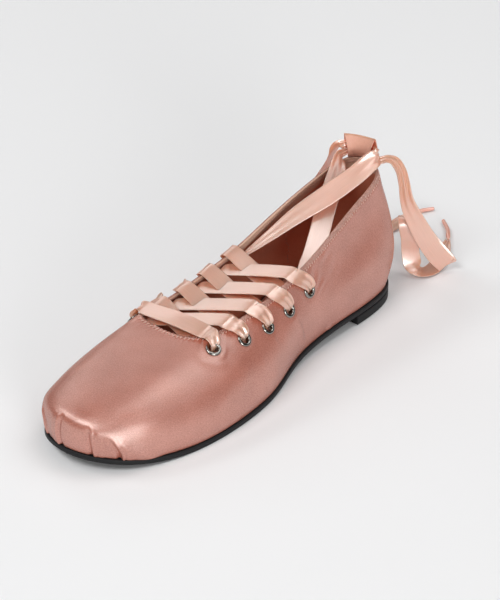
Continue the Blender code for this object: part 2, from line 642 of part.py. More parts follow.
def rim_at(distance):
    """The collar's outer rim at this distance along it from the pull loop's middle, and the way inward."""
    u = np.linspace(-60, 60, 481)
    rim = np.column_stack([section_value(name, u) for name in ("topX", "topY", "topZ")])
    along = np.concatenate([[0.0], np.cumsum(np.linalg.norm(np.diff(rim[:, :2], axis=0), axis=1))])
    along -= np.interp(LOOP_CENTRE_Y, rim[:, 1], along)
    place = np.stack([np.interp(distance, along, rim[:, k]) for k in range(3)], axis=-1)
    run = np.gradient(rim[:, :2], axis=0)
    run = np.stack([np.interp(distance, along, run[:, k]) for k in range(2)], axis=-1)
    run /= np.linalg.norm(run, axis=-1, keepdims=True)
    inward = np.stack([run[..., 1], -run[..., 0], np.zeros(distance.shape)], axis=-1)
    return place, inward


def main():
    clear_scene()
    satin = principled("satin", (0.42, 0.19, 0.15), 0.45)
    ribbon_satin = principled("ribbon_satin", (0.72, 0.42, 0.34), 0.4)
    nickel = principled("nickel", (0.6, 0.6, 0.58), 0.25, 1.0)
    rubber = principled("sole_rubber", (0.012, 0.012, 0.013), 0.5)
    lining = principled("lining", (0.3, 0.14, 0.09), 0.7)

    eyelets = {}
    for side, pitch in EYELET_PITCH.items():
        for number in range(1, EYELET_COUNT + 1):
            x = EYELET_FIRST_X - pitch * (number - 1)
            drop = EYELET_FIRST_DROP + EYELET_DROP_STEP * (number - 1)
            eyelets[side, number] = place_on_wall(side, x, drop)

    make_outsole(rubber)
    make_heel(rubber)
    make_insole(lining)
    make_upper(satin, eyelets)
    for (side, number), (place, normal) in eyelets.items():
        make_eyelet(f"eyelet_{side}_{number}", place, normal, nickel)
    make_front_bar(eyelets, ribbon_satin)
    for number in range(2, EYELET_COUNT + 1):
        make_crossing(number, eyelets, ribbon_satin)
    make_pull_loop(ribbon_satin)
    free_ribbon("lace_end_medial", MEDIAL_END, ribbon_satin)
    free_ribbon("lace_end_lateral", LATERAL_END, ribbon_satin)
    ribbon_tip("lace_tip_medial", MEDIAL_TIP, ribbon_satin)
    ribbon_tip("lace_tip_lateral", LATERAL_TIP, ribbon_satin)


main()
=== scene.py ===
import math

import bpy
import numpy as np
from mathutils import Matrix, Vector


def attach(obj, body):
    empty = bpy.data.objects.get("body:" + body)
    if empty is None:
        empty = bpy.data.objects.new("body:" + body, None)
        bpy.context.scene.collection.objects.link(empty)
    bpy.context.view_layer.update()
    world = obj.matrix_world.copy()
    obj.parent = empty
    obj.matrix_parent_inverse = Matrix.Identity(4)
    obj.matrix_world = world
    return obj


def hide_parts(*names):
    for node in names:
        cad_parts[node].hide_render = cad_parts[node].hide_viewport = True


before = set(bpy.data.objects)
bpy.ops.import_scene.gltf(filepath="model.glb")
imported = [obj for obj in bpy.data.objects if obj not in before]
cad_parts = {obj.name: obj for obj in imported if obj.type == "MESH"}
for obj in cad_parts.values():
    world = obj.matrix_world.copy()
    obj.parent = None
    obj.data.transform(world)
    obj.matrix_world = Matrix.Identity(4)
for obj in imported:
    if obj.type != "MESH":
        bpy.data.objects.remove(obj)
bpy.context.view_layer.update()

mm = 0.001
turn = 2 * math.pi


# small tools: nodes, meshes and curves


def addNode(material, kind, sockets=(), **settings):
    # one node, each socket either linked to another node or given a number
    node = material.node_tree.nodes.new(kind)
    for name, value in settings.items():
        setattr(node, name, value)
    for name, value in dict(sockets).items():
        if isinstance(value, bpy.types.NodeSocket):
            material.node_tree.links.new(value, node.inputs[name])
        else:
            node.inputs[name].default_value = value
    return node


def newMaterial(name, colour, roughness, **sockets):
    material = bpy.data.materials.new(name)
    material.use_nodes = True
    shader = material.node_tree.nodes["Principled BSDF"]
    shader.inputs["Base Color"].default_value = (*colour, 1)
    shader.inputs["Roughness"].default_value = roughness
    for socket, value in sockets.items():
        shader.inputs[socket.replace("_", " ")].default_value = value
    return material, shader


def joinNodes(material, output, target):
    material.node_tree.links.new(output, target)


def unit(vectors):
    # vectors of length 1: each one divided by its own length
    return vectors / np.linalg.norm(vectors, axis=-1, keepdims=True)


def smoothstep(low, high, x):
    # 3t^2 - 2t^3, where t runs from 0 at low to 1 at high
    t = np.clip((np.asarray(x, float) - low) / (high - low), 0, 1)
    return t * t * (3 - 2 * t)


def hill(x, width):
    # a smooth hump, 1 at zero: e to the power of minus the square of x over width
    return np.exp(-((x / width) ** 2))


def runLength(points, closed=False):
    # how far along a line of points each one is: the sum of the steps before it
    steps = np.roll(points, -1, axis=0) - points if closed else np.diff(points, axis=0)
    return np.concatenate([[0.0], np.cumsum(np.linalg.norm(steps, axis=1))])


def bunched(sides):
    # shares from -1 to 1 across a band, closer together near its two edges
    share = np.linspace(-1, 1, sides)
    return np.sign(share) * (1 - (1 - np.abs(share)) ** 1.6)


def gridQuads(rows, columns, closedRows, closedColumns):
    # the quads of a grid, and the row and column number of each corner, not wrapped, for the UV map
    rowCount = rows if closedRows else rows - 1
    columnCount = columns if closedColumns else columns - 1
    i, j = np.meshgrid(np.arange(rowCount), np.arange(columnCount), indexing="ij")
    i, j = i.ravel(), j.ravel()
    cornerRow = np.stack([i, i + 1, i + 1, i], axis=1)
    cornerColumn = np.stack([j, j, j + 1, j + 1], axis=1)
    quads = (cornerRow % rows) * columns + cornerColumn % columns
    return quads, cornerRow, cornerColumn


def facingOut(points, faces):
    # turns every face round if the closed mesh encloses a negative volume
    volume = 0.0
    for corners in faces:
        p = points[corners]
        for k in range(1, p.shape[1] - 1):
            volume += np.einsum("ij,ij->i", p[:, 0], np.cross(p[:, k], p[:, k + 1])).sum()
    return faces if volume > 0 else [corners[:, ::-1] for corners in faces]


def newPiece(name, points, faces, materials, replaced=(), uv=None, faceMaterial=None):
    # a closed mesh from points in millimetres and arrays of faces, riding on the shoe
    points = np.asarray(points, float)
    turned = facingOut(points, faces)
    if uv is not None and turned is not faces:
        uv = [corners[:, ::-1] for corners in uv]
    mesh = bpy.data.meshes.new(name)
    mesh.from_pydata((points * mm).tolist(), [], [face for corners in turned for face in corners.tolist()])
    if uv is not None:
        layer = mesh.uv_layers.new(name="threads")
        flat = np.concatenate([corners.reshape(-1, 2) for corners in uv]).ravel()
        layer.data.foreach_set("uv", flat.astype(np.float32))
    for material in materials:
        mesh.materials.append(material)
    if faceMaterial is not None:
        mesh.polygons.foreach_set("material_index", np.asarray(faceMaterial, np.int32))
    mesh.shade_smooth()
    piece = bpy.data.objects.new(name, mesh)
    bpy.context.scene.collection.objects.link(piece)
    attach(piece, "root")
    if replaced:
        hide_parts(*replaced)
    return piece


def smoothRoute(rows, samplesPerSpan):
    # Catmull and Rom's cubic through the rows: between two rows its slope at each is half the step
    # between that row's neighbours
    rows = np.asarray(rows, float)
    padded = np.vstack([2 * rows[0] - rows[1], rows, 2 * rows[-1] - rows[-2]])
    t = np.linspace(0, 1, samplesPerSpan, endpoint=False)[None, :, None]
    a, b, c, d = (padded[k : len(padded) - 3 + k][:, None, :] for k in range(4))
    curve = b + (c - a) * t / 2 + (2 * a - 5 * b + 4 * c - d) * t**2 / 2 + (3 * b - a - 3 * c + d) * t**3 / 2
    return np.vstack([curve.reshape(-1, rows.shape[1]), rows[-1:]])


# camera, light and floor

view = {
    "position": (1.16289, 0.89608, 0.91852),
    "target": (0.0796, 0.0005, 0.035),
    "lens": 182.0,
}
light = {
    "world": 0.06, "lampDistance": 3.5, "aim": (0.05, 0, 0.03),
    # toward each lamp from the shoe, its width and height in metres, and its power
    "lamps": {
        "key": ((0.62, 0.0, 0.78), (1.8, 1.2), 57.5),
        "ridge": ((0.3, -0.62, 0.72), (1.2, 0.9), 24.0),
        "top": ((-0.32, 0.05, 0.94), (1.6, 1.3), 18.0),
        "front": ((0.5, 0.84, 0.21), (1.3, 1.0), 61.0),
        "left": ((-0.4, -0.74, 0.54), (1.6, 1.2), 13.0),
        "back": ((-0.52, 0.28, 0.8), (2.6, 1.6), 20.0),
        "shoulder": ((0.04, 0.72, 0.69), (2.2, 1.8), 15.0),
    },
}

cameraData = bpy.data.cameras.new("camera")
cameraData.lens = view["lens"]
cameraData.clip_end = 20
camera = bpy.data.objects.new("camera", cameraData)
camera.location = view["position"]
camera.rotation_euler = (Vector(view["target"]) - camera.location).to_track_quat("-Z", "Y").to_euler()
bpy.context.scene.collection.objects.link(camera)
bpy.context.scene.camera = camera
bpy.context.scene.view_settings.view_transform = "Standard"

world = bpy.data.worlds.new("studio")
world.use_nodes = True
world.node_tree.nodes["Background"].inputs["Color"].default_value = (1, 0.995, 0.99, 1)
world.node_tree.nodes["Background"].inputs["Strength"].default_value = light["world"]
bpy.context.scene.world = world


def addSoftbox(name, toward, size, power):
    # a rectangular lamp at one distance from the shoe, turned to face it
    data = bpy.data.lights.new(name, "AREA")
    data.shape = "RECTANGLE"
    data.size, data.size_y = size
    data.energy = power
    lamp = bpy.data.objects.new(name, data)
    middle = Vector(light["aim"])
    lamp.location = middle + Vector(toward).normalized() * light["lampDistance"]
    lamp.rotation_euler = (middle - lamp.location).to_track_quat("-Z", "Y").to_euler()
    bpy.context.scene.collection.objects.link(lamp)


for name, (toward, size, power) in light["lamps"].items():
    addSoftbox(name, toward, size, power)

floorMaterial, _ = newMaterial("pale_floor", (0.83, 0.83, 0.835), 0.85)
floorMesh = bpy.data.meshes.new("floor")
floorMesh.from_pydata([(-4, -4, 0), (4, -4, 0), (4, 4, 0), (-4, 4, 0)], [], [(0, 1, 2, 3)])
floorMesh.materials.append(floorMaterial)
floor = bpy.data.objects.new("floor", floorMesh)
bpy.context.scene.collection.objects.link(floor)
print("camera, light and floor made")


# materials


def noiseNode(material, vector, scale, **sockets):
    # a cloudy pattern from 0 to 1, at this many waves a metre
    sockets = {name.replace("_", " "): value for name, value in sockets.items()}
    return addNode(material, "ShaderNodeTexNoise", {"Vector": vector, "Scale": scale, **sockets})


def stretchedThreads(material, uv, **sockets):
    # the piece's own thread coordinates, stretched or turned
    return addNode(material, "ShaderNodeMapping", {"Vector": uv, **sockets}).outputs["Vector"]


def clothMaterial(name, deep, pale, look):
    # woven satin: a slow drift of tone, faint streaks along the threads, and a fine weave as bump
    material, shader = newMaterial(
        name, pale, look["roughness"], Sheen_Weight=look["sheen"], Sheen_Roughness=0.4,
        Specular_IOR_Level=look["specular"], Anisotropic=look["anisotropic"],
        Subsurface_Weight=look["glow"], Subsurface_Scale=0.002, IOR=look["ior"],
    )
    shader.inputs["Subsurface Radius"].default_value = (1.0, 0.42, 0.3)
    shader.inputs["Sheen Tint"].default_value = (*look["sheenTint"], 1)
    shader.inputs["Specular Tint"].default_value = (*look["specularTint"], 1)
    place = addNode(material, "ShaderNodeTexCoord").outputs["Object"]
    threads = addNode(material, "ShaderNodeUVMap", uv_map="threads").outputs["UV"]
    drift = noiseNode(material, place, look["driftScale"], Detail=3.0)
    stretch = stretchedThreads(material, threads, Scale=look["streakScale"])
    streak = noiseNode(material, stretch, 1.0, Detail=4.0, Roughness=0.6)
    tone = addNode(material, "ShaderNodeMix", {
        "Factor": 0.72, "A": drift.outputs["Fac"], "B": streak.outputs["Fac"],
    })
    ramp = addNode(material, "ShaderNodeValToRGB", {"Fac": tone.outputs["Result"]})
    for stop, position, colour in zip(ramp.color_ramp.elements, (0.38, 0.62), (deep, pale)):
        stop.position, stop.color = position, (*colour, 1)
    joinNodes(material, ramp.outputs["Color"], shader.inputs["Base Color"])
    weaveStretch = stretchedThreads(material, threads, Scale=look["weaveScale"])
    weave = noiseNode(material, weaveStretch, 1.0, Detail=2.0)
    bump = addNode(material, "ShaderNodeBump", {
        "Height": weave.outputs["Fac"], "Strength": look["bump"], "Distance": 0.0002,
    })
    if "gather" in look:
        # small slanting gathers along a seamed edge
        gather = look["gather"]
        wave = addNode(material, "ShaderNodeTexWave", {
            "Vector": stretchedThreads(material, threads, Rotation=(0, 0, gather["slant"])),
            "Scale": gather["waves"], "Distortion": 2.5, "Detail": 1.0, "Detail Scale": 30.0,
        })
        bump = addNode(material, "ShaderNodeBump", {
            "Height": wave.outputs["Fac"], "Strength": 1.0, "Distance": gather["height"],
            "Normal": bump.outputs["Normal"],
        })
    joinNodes(material, bump.outputs["Normal"], shader.inputs["Normal"])
    tangent = addNode(material, "ShaderNodeTangent", direction_type="UV_MAP", uv_map="threads")
    joinNodes(material, tangent.outputs["Tangent"], shader.inputs["Tangent"])
    return material


# what a satin does: its shine, its glow from within, and how its streaks and weave are drawn out
satinLook = {
    "roughness": 0.27, "ior": 2.0, "specular": 1.0, "specularTint": (1.0, 0.86, 0.8), "anisotropic": 0.7,
    "sheen": 0.04, "sheenTint": (1.0, 0.85, 0.8), "glow": 0.0,
    "driftScale": 60.0, "streakScale": (100.0, 150.0, 1.0), "weaveScale": (150.0, 260.0, 1.0), "bump": 0.7,
}
ribbonLook = {
    "roughness": 0.28, "ior": 2.2, "specular": 1.0, "specularTint": (1.0, 0.96, 0.93), "anisotropic": 0.5,
    "sheen": 0.04, "sheenTint": (1.0, 0.88, 0.82), "glow": 0.6,
    "driftScale": 40.0, "streakScale": (8.0, 300.0, 1.0), "weaveScale": (60.0, 500.0, 1.0), "bump": 0.25,
}
loopLook = {
    **ribbonLook, "roughness": 0.45, "ior": 1.7, "specular": 0.6, "anisotropic": 0.2,
    "streakScale": (60.0, 400.0, 1.0), "gather": {"slant": math.pi / 2, "waves": 34.0, "height": 0.00005},
}
gatheredLook = {**satinLook, "gather": {"slant": 0.6, "waves": 14.0, "height": 0.0006}}
mattLook = {**satinLook, "roughness": 0.6, "specular": 0.4, "sheen": 0.15}

# each cloth with its deep and its pale tone
satin = clothMaterial("rose_satin", (0.31, 0.088, 0.055), (0.495, 0.17, 0.118), satinLook)
ribbonSatin = clothMaterial("ribbon_satin", (0.71, 0.3, 0.205), (0.79, 0.36, 0.255), ribbonLook)
gatheredSatin = clothMaterial("gathered_satin", (0.5, 0.2, 0.145), (0.66, 0.32, 0.24), gatheredLook)
loopTape = clothMaterial("loop_tape", (0.68, 0.335, 0.235), (0.76, 0.4, 0.29), {**loopLook, "glow": 0.0})
# the loop's inside: the same tape painted a bright orange, a painted glow of light shining through it
loopInsidePaintedGlow = clothMaterial("loop_inside_painted_glow", (0.95, 0.3, 0.15), (1.0, 0.38, 0.22), loopLook)
tapeCloth = clothMaterial("rim_tape", (0.56, 0.34, 0.24), (0.64, 0.42, 0.31), mattLook)
liningCloth = clothMaterial("lining_cloth", (0.6, 0.2, 0.11), (0.68, 0.26, 0.155), mattLook)
insoleCloth = clothMaterial("insole_cloth", (0.5, 0.23, 0.16), (0.58, 0.3, 0.22), mattLook)


def unevenRoughness(material, shader, vector, scale, detail, low, high):
    # a cloudy pattern that sets the roughness between low and high
    patches = noiseNode(material, vector, scale, Detail=detail)
    rough = addNode(material, "ShaderNodeMapRange", {
        "Value": patches.outputs["Fac"], "To Min": low, "To Max": high,
    })
    joinNodes(material, rough.outputs["Result"], shader.inputs["Roughness"])


def rubberMaterial(name, colour):
    # matt black sole edge: fine grain and a few duller patches
    material, shader = newMaterial(name, colour, 0.5, Specular_IOR_Level=0.2)
    place = addNode(material, "ShaderNodeTexCoord").outputs["Object"]
    unevenRoughness(material, shader, place, 90.0, 4.0, 0.42, 0.62)
    grain = noiseNode(material, place, 1800.0, Detail=2.0)
    bump = addNode(material, "ShaderNodeBump", {
        "Height": grain.outputs["Fac"], "Strength": 0.3, "Distance": 0.0002,
    })
    joinNodes(material, bump.outputs["Normal"], shader.inputs["Normal"])
    return material


def nickelMaterial(name):
    # polished nickel with fine rubbed marks
    material, shader = newMaterial(name, (0.3, 0.29, 0.27), 0.18, Metallic=1.0)
    place = addNode(material, "ShaderNodeTexCoord").outputs["Object"]
    unevenRoughness(material, shader, place, 700.0, 3.0, 0.1, 0.24)
    return material


def threadMaterial(name, colour):
    # sewing thread: slightly uneven in tone
    material, shader = newMaterial(name, colour, 0.6, Sheen_Weight=0.3)
    place = addNode(material, "ShaderNodeTexCoord").outputs["Object"]
    drift = noiseNode(material, place, 300.0, Detail=2.0)
    ramp = addNode(material, "ShaderNodeValToRGB", {"Fac": drift.outputs["Fac"]})
    for stop, share in zip(ramp.color_ramp.elements, (0.8, 1.0)):
        stop.color = (*[channel * share for channel in colour], 1)
    joinNodes(material, ramp.outputs["Color"], shader.inputs["Base Color"])
    return material


rubber = rubberMaterial("sole_black", (0.012, 0.012, 0.013))
nickel = nickelMaterial("eyelet_nickel")
paleThread = threadMaterial("pale_thread", (0.68, 0.41, 0.33))
print("materials made")


# ribbon: free ends and lacing

ribbonShape = {
    "thickness": 0.24, "sides": 19, "fullWidth": 11.5, "foldDepth": 0.75, "folds": 2.3,
    "foldWander": (0.5, 9.0), "ripple": 0.09, "ripplePitch": 8.3, "spanSamples": 7,
}
# each row of a free end, in millimetres: its place, the direction across the ribbon, and its width
medialEnd = (
    (60.5, -18.8, 47.9, 0.0, 0.69, -0.72, 2.2),
    (57.0, -17.6, 49.5, 0.0, 0.69, -0.72, 3.6),
    (44.0, -13.0, 55.5, 0.0, 0.69, -0.72, 6.4),
    (28.0, -7.5, 63.0, 0.0, 0.69, -0.72, 9.6),
    (10.0, 0.3, 71.0, 0.0, 0.69, -0.72, 11.5),
    (-5.0, 6.2, 78.0, 0.0, 0.69, -0.72, 11.0),
    (-15.0, 9.6, 83.8, 0.05, 0.55, -0.83, 10.6),
    (-19.4, 10.9, 85.6, 0.1, 0.3, -0.95, 9.2),
    (-21.6, 9.4, 86.0, 0.0, 0.0, -1.0, 6.6),
    (-22.3, 6.8, 86.8, 0.0, 0.0, -1.0, 4.2),
    (-23.1, 4.1, 87.3, 0.0, 0.0, -1.0, 4.2),
    (-23.4, -3.5, 87.8, 0.0, 0.0, -1.0, 4.2),
    (-20.4, -10.1, 86.5, 0.0, 0.0, -1.0, 4.2),
    (-17.8, -12.3, 85.9, 0.0, 0.0, -1.0, 6.0),
    (-16.3, -15.4, 84.2, -0.4, -0.3, -0.85, 8.5),
    (-16.4, -18.4, 78.5, -0.75, -0.3, -0.55, 11.0),
    (-14.5, -21.2, 70.5, -0.88, -0.2, -0.42, 11.5),
    (-9.5, -25.8, 59.0, -0.9, -0.17, -0.42, 11.5),
    (-5.0, -32.5, 44.0, -0.93, -0.1, -0.35, 11.5),
    (-4.0, -38.5, 27.0, -0.96, 0.1, -0.25, 11.5),
    (-8.0, -43.0, 12.0, -0.8, 0.5, -0.35, 11.5),
    (-18.0, -46.0, 3.0, -0.15, 0.98, -0.05, 11.5),
    (-34.0, -44.5, 1.2, 0.2, 0.97, 0.0, 11.5),
    (-50.0, -37.0, 1.2, 0.5, 0.86, 0.0, 11.5),
    (-64.0, -27.5, 1.2, 0.45, 0.9, 0.0, 11.5),
    (-78.0, -21.5, 1.2, 0.1, 0.99, 0.0, 10.0),
    (-91.0, -21.3, 1.4, -0.1, 0.99, 0.0, 6.5),
    (-100.0, -19.5, 1.6, 0.25, 0.97, 0.0, 3.0),
)
medialTip = ((-101.0, -19.2, 1.6), (-105.5, -17.2, 1.6), (-110.5, -14.0, 1.6))
lateralEnd = (
    (56.5, 18.0, 43.5, -0.5, 0.82, -0.28, 7.0),
    (47.0, 14.3, 46.0, -0.5, 0.82, -0.28, 10.0),
    (36.0, 10.3, 48.7, -0.5, 0.82, -0.28, 11.5),
    (22.0, 3.6, 54.5, -0.5, 0.82, -0.28, 11.5),
    (10.0, -2.0, 61.5, -0.5, 0.82, -0.28, 11.5),
    (0.0, -5.4, 68.0, -0.5, 0.82, -0.3, 11.2),
    (-8.5, -8.4, 75.5, -0.45, 0.75, -0.48, 10.0),
    (-13.5, -11.4, 79.8, -0.35, 0.45, -0.82, 8.0),
    (-17.0, -12.2, 80.8, 0.0, 0.0, -1.0, 5.6),
    (-20.4, -10.1, 81.4, 0.0, 0.0, -1.0, 4.2),
    (-23.4, -3.5, 82.7, 0.0, 0.0, -1.0, 4.2),
    (-23.1, 4.1, 82.2, 0.0, 0.0, -1.0, 4.2),
    (-22.4, 7.2, 81.7, 0.0, 0.0, -1.0, 4.2),
    (-23.6, 10.0, 81.6, 0.05, -0.05, -1.0, 5.2),
    (-27.6, 12.0, 81.6, 0.4, -0.4, -0.82, 5.8),
    (-32.0, 13.8, 78.5, 0.7, -0.55, -0.45, 6.0),
    (-35.5, 15.6, 71.2, 0.75, -0.58, -0.32, 6.2),
    (-37.5, 16.6, 62.2, 0.75, -0.58, -0.32, 6.8),
    (-39.5, 17.2, 51.4, 0.75, -0.58, -0.32, 8.0),
    (-42.5, 18.8, 42.0, 0.72, -0.56, -0.4, 9.6),
    (-47.5, 23.0, 28.0, 0.69, -0.53, -0.49, 11.5),
    (-53.0, 28.2, 14.5, 0.69, -0.53, -0.49, 11.5),
    (-57.4, 32.0, 7.2, 0.69, -0.53, -0.49, 11.5),
    (-59.3, 33.2, 4.8, 0.69, -0.53, -0.49, 11.5),
    (-60.2, 31.8, 5.6, 0.69, -0.53, -0.49, 11.5),
    (-58.6, 27.4, 10.5, 0.69, -0.53, -0.45, 11.5),
    (-55.8, 21.6, 18.0, 0.67, -0.6, -0.4, 11.5),
    (-52.4, 16.4, 27.0, 0.66, -0.68, -0.3, 11.5),
    (-49.0, 13.6, 33.0, 0.66, -0.73, -0.1, 11.5),
    (-46.4, 13.4, 34.2, 0.66, -0.75, 0.0, 11.5),
    (-44.6, 15.2, 30.5, 0.66, -0.75, 0.05, 11.0),
    (-45.0, 16.4, 23.0, 0.67, -0.74, 0.0, 10.5),
    (-45.6, 16.6, 14.0, 0.75, -0.66, -0.05, 10.5),
    (-45.6, 18.6, 6.5, 0.85, -0.45, -0.2, 11.0),
    (-46.8, 22.6, 2.6, 0.92, 0.35, 0.0, 11.0),
    (-51.5, 25.6, 1.3, 0.4, 0.92, 0.0, 10.5),
    (-59.0, 25.3, 1.1, -0.1, 0.99, 0.0, 10.0),
    (-68.0, 22.3, 1.1, -0.4, 0.92, 0.0, 9.5),
    (-79.0, 17.0, 1.2, -0.5, 0.86, 0.0, 7.0),
    (-86.0, 14.0, 1.6, -0.4, 0.92, 0.0, 3.0),
)
lateralTip = ((-87.0, 13.6, 1.6), (-95.5, 7.0, 1.6), (-103.0, -2.0, 1.6))


# how gathered each free end is, as pairs of row number and share
medialGather = (
    (0, 0.3), (3, 0.05), (5, 0.0), (7, 0.3), (8, 0.8), (13, 0.5), (14, 0.15), (16, 0.0), (24, 0.0), (27, 0.6),
)
lateralGather = (
    (0, 0.2), (2, 0.0), (5, 0.05), (7, 0.3), (9, 0.8), (13, 1.2), (15, 1.5), (17, 1.2), (19, 0.3), (20, 0.0),
    (37, 0.0), (39, 0.6),
)


def withGather(rows, gather):
    # each row with its share of gathering added, a straight line between the pairs
    share = np.interp(np.arange(len(rows)), *np.array(gather).T)
    return [(*row, each) for row, each in zip(rows, share)]


def ribbonPiece(name, rows, replaced):
    # A closed flat band along the route. Across it the place is a share s from -1 to 1 of half the width.
    # Where it is gathered its face rises and falls as a cosine of s, deepest in the middle, by a row's eighth
    # number. A slow ripple, a sine along and across, keeps it from lying dead flat.
    shape = ribbonShape
    route = smoothRoute(rows, shape["spanSamples"])
    centre, across, width, gathered = route[:, :3], route[:, 3:6], route[:, 6:7], route[:, 7:]
    run = unit(np.gradient(centre, axis=0))
    across = unit(across - run * np.sum(across * run, axis=1, keepdims=True))
    face = np.cross(run, across)
    along = runLength(centre)
    s = bunched(shape["sides"])
    amount, pitch = shape["foldWander"]
    fold = math.pi * shape["folds"] * s + amount * np.sin(along[:, None] / pitch)
    ripple = np.sin(along[:, None] / shape["ripplePitch"] + 1.7 * s) * (1 - 0.4 * s**2)
    lift = shape["ripple"] * ripple - gathered * shape["foldDepth"] * np.cos(fold)
    half = shape["thickness"] / 2 * (1 - np.abs(s) ** 16)
    middle = centre[:, None] + across[:, None] * (width / 2 * s)[:, :, None]
    upperFace = middle + face[:, None] * (lift + half)[:, :, None]
    lowerFace = middle + face[:, None] * (lift - half)[:, :, None]
    ring = np.concatenate([upperFace, lowerFace[:, -2:0:-1]], axis=1)
    count, sides = ring.shape[:2]
    quads, cornerRow, cornerColumn = gridQuads(count, sides, False, True)
    acrossAt = np.concatenate([s, s[-2:0:-1], s[:1]]) * shape["fullWidth"] / 200
    faces, uv = [quads], [np.stack([along[cornerRow] / 100, acrossAt[cornerColumn]], axis=-1)]
    # each end closed by a strip of quads between its two faces, and a triangle at each edge
    last = shape["sides"] - 1
    j = np.arange(1, last - 1)
    for base in (0, (count - 1) * sides):
        strip = np.stack([base + j, base + j + 1, base + sides - j - 1, base + sides - j], axis=1)
        corners = base + np.array([[0, 1, sides - 1], [last - 1, last, last + 1]])
        for closing in (strip, corners):
            faces.append(closing[:, ::-1] if base else closing)
            uv.append(np.zeros((*closing.shape, 2)))
    piece = newPiece(name, ring.reshape(-1, 3), faces, [ribbonSatin], replaced, uv)
    return piece, centre


tipShape = {
    "radius": 1.3, "start": 0.55, "taper": 0.25, "closing": 0.75, "edge": 0.07, "turns": 1.5, "sides": 20,
    "spanSamples": 14,
}


def rolledTip(name, rows, replaced):
    # a thin rolled tube: circles of a radius that tapers to the end, with a spiral edge of the rolled ribbon
    shape = tipShape
    sides = shape["sides"]
    route = smoothRoute(rows, shape["spanSamples"])
    run = unit(np.gradient(route, axis=0))
    side = unit(np.cross(run, (0, 0, 1)))
    up = np.cross(side, run)
    share = np.linspace(0, 1, len(route))
    radius = shape["radius"] * (shape["start"] + (1 - shape["start"]) * smoothstep(0, 0.15, share))
    radius *= (1 - shape["taper"] * share) * (1 - shape["closing"] * smoothstep(0.96, 1, share))
    angle = np.linspace(0, turn, sides, endpoint=False)
    swirl = 1 + shape["edge"] * np.mod(angle[None, :] / turn + share[:, None] * shape["turns"], 1)
    spoke = side[:, None] * np.cos(angle)[None, :, None] + up[:, None] * np.sin(angle)[None, :, None]
    grid = route[:, None] + (radius[:, None] * swirl)[:, :, None] * spoke
    quads, cornerRow, cornerColumn = gridQuads(len(route), sides, False, True)
    uv = np.stack([cornerRow / len(route) * 0.18, cornerColumn / sides * 0.08], axis=-1)
    points = np.concatenate([grid.reshape(-1, 3), route[:1], route[-1:]])
    j = np.arange(sides)
    base = (len(route) - 1) * sides
    caps = np.concatenate([
        np.stack([np.full(sides, len(points) - 2), j, (j + 1) % sides], axis=1),
        np.stack([np.full(sides, len(points) - 1), base + (j + 1) % sides, base + j], axis=1),
    ])
    capUv = np.zeros((2 * sides, 3, 2))
    return newPiece(name, points, [quads, caps], [ribbonSatin], replaced, [uv, capUv])


def declareEnd(piece, path, tip):
    # prints the cord's length along the route; the tip is not used
    length = float(runLength(path)[-1]) * mm
    print(f"{piece.name}: {length:.3f} m")


medialRibbon, medialPath = ribbonPiece(
    "free_end_medial", withGather(medialEnd, medialGather), ["lace_end_medial"]
)
lateralRibbon, lateralPath = ribbonPiece(
    "free_end_lateral", withGather(lateralEnd, lateralGather), ["lace_end_lateral"]
)
declareEnd(medialRibbon, medialPath, rolledTip("rolled_tip_medial", medialTip, ["lace_tip_medial"]))
declareEnd(lateralRibbon, lateralPath, rolledTip("rolled_tip_lateral", lateralTip, ["lace_tip_lateral"]))

# the shoe's own lines

# its main sizes in millimetres, with the small steps, along and as a share of the wall, that slopes are
# taken from
shoe = {
    "soleThickness": 3.2, "heelLift": 6.0, "heelBreastX": 22.0, "flatStartX": 112.0, "flatEndX": 165.0,
    "toeTipX": 222.4, "toeSpring": 7.1, "soleMargin": 1.2, "gap": 0.3, "wall": 1.8, "lowRise": 7.0,
    "lowOut": 2.0, "smallStep": 0.05, "smallShare": 1e-3,
}
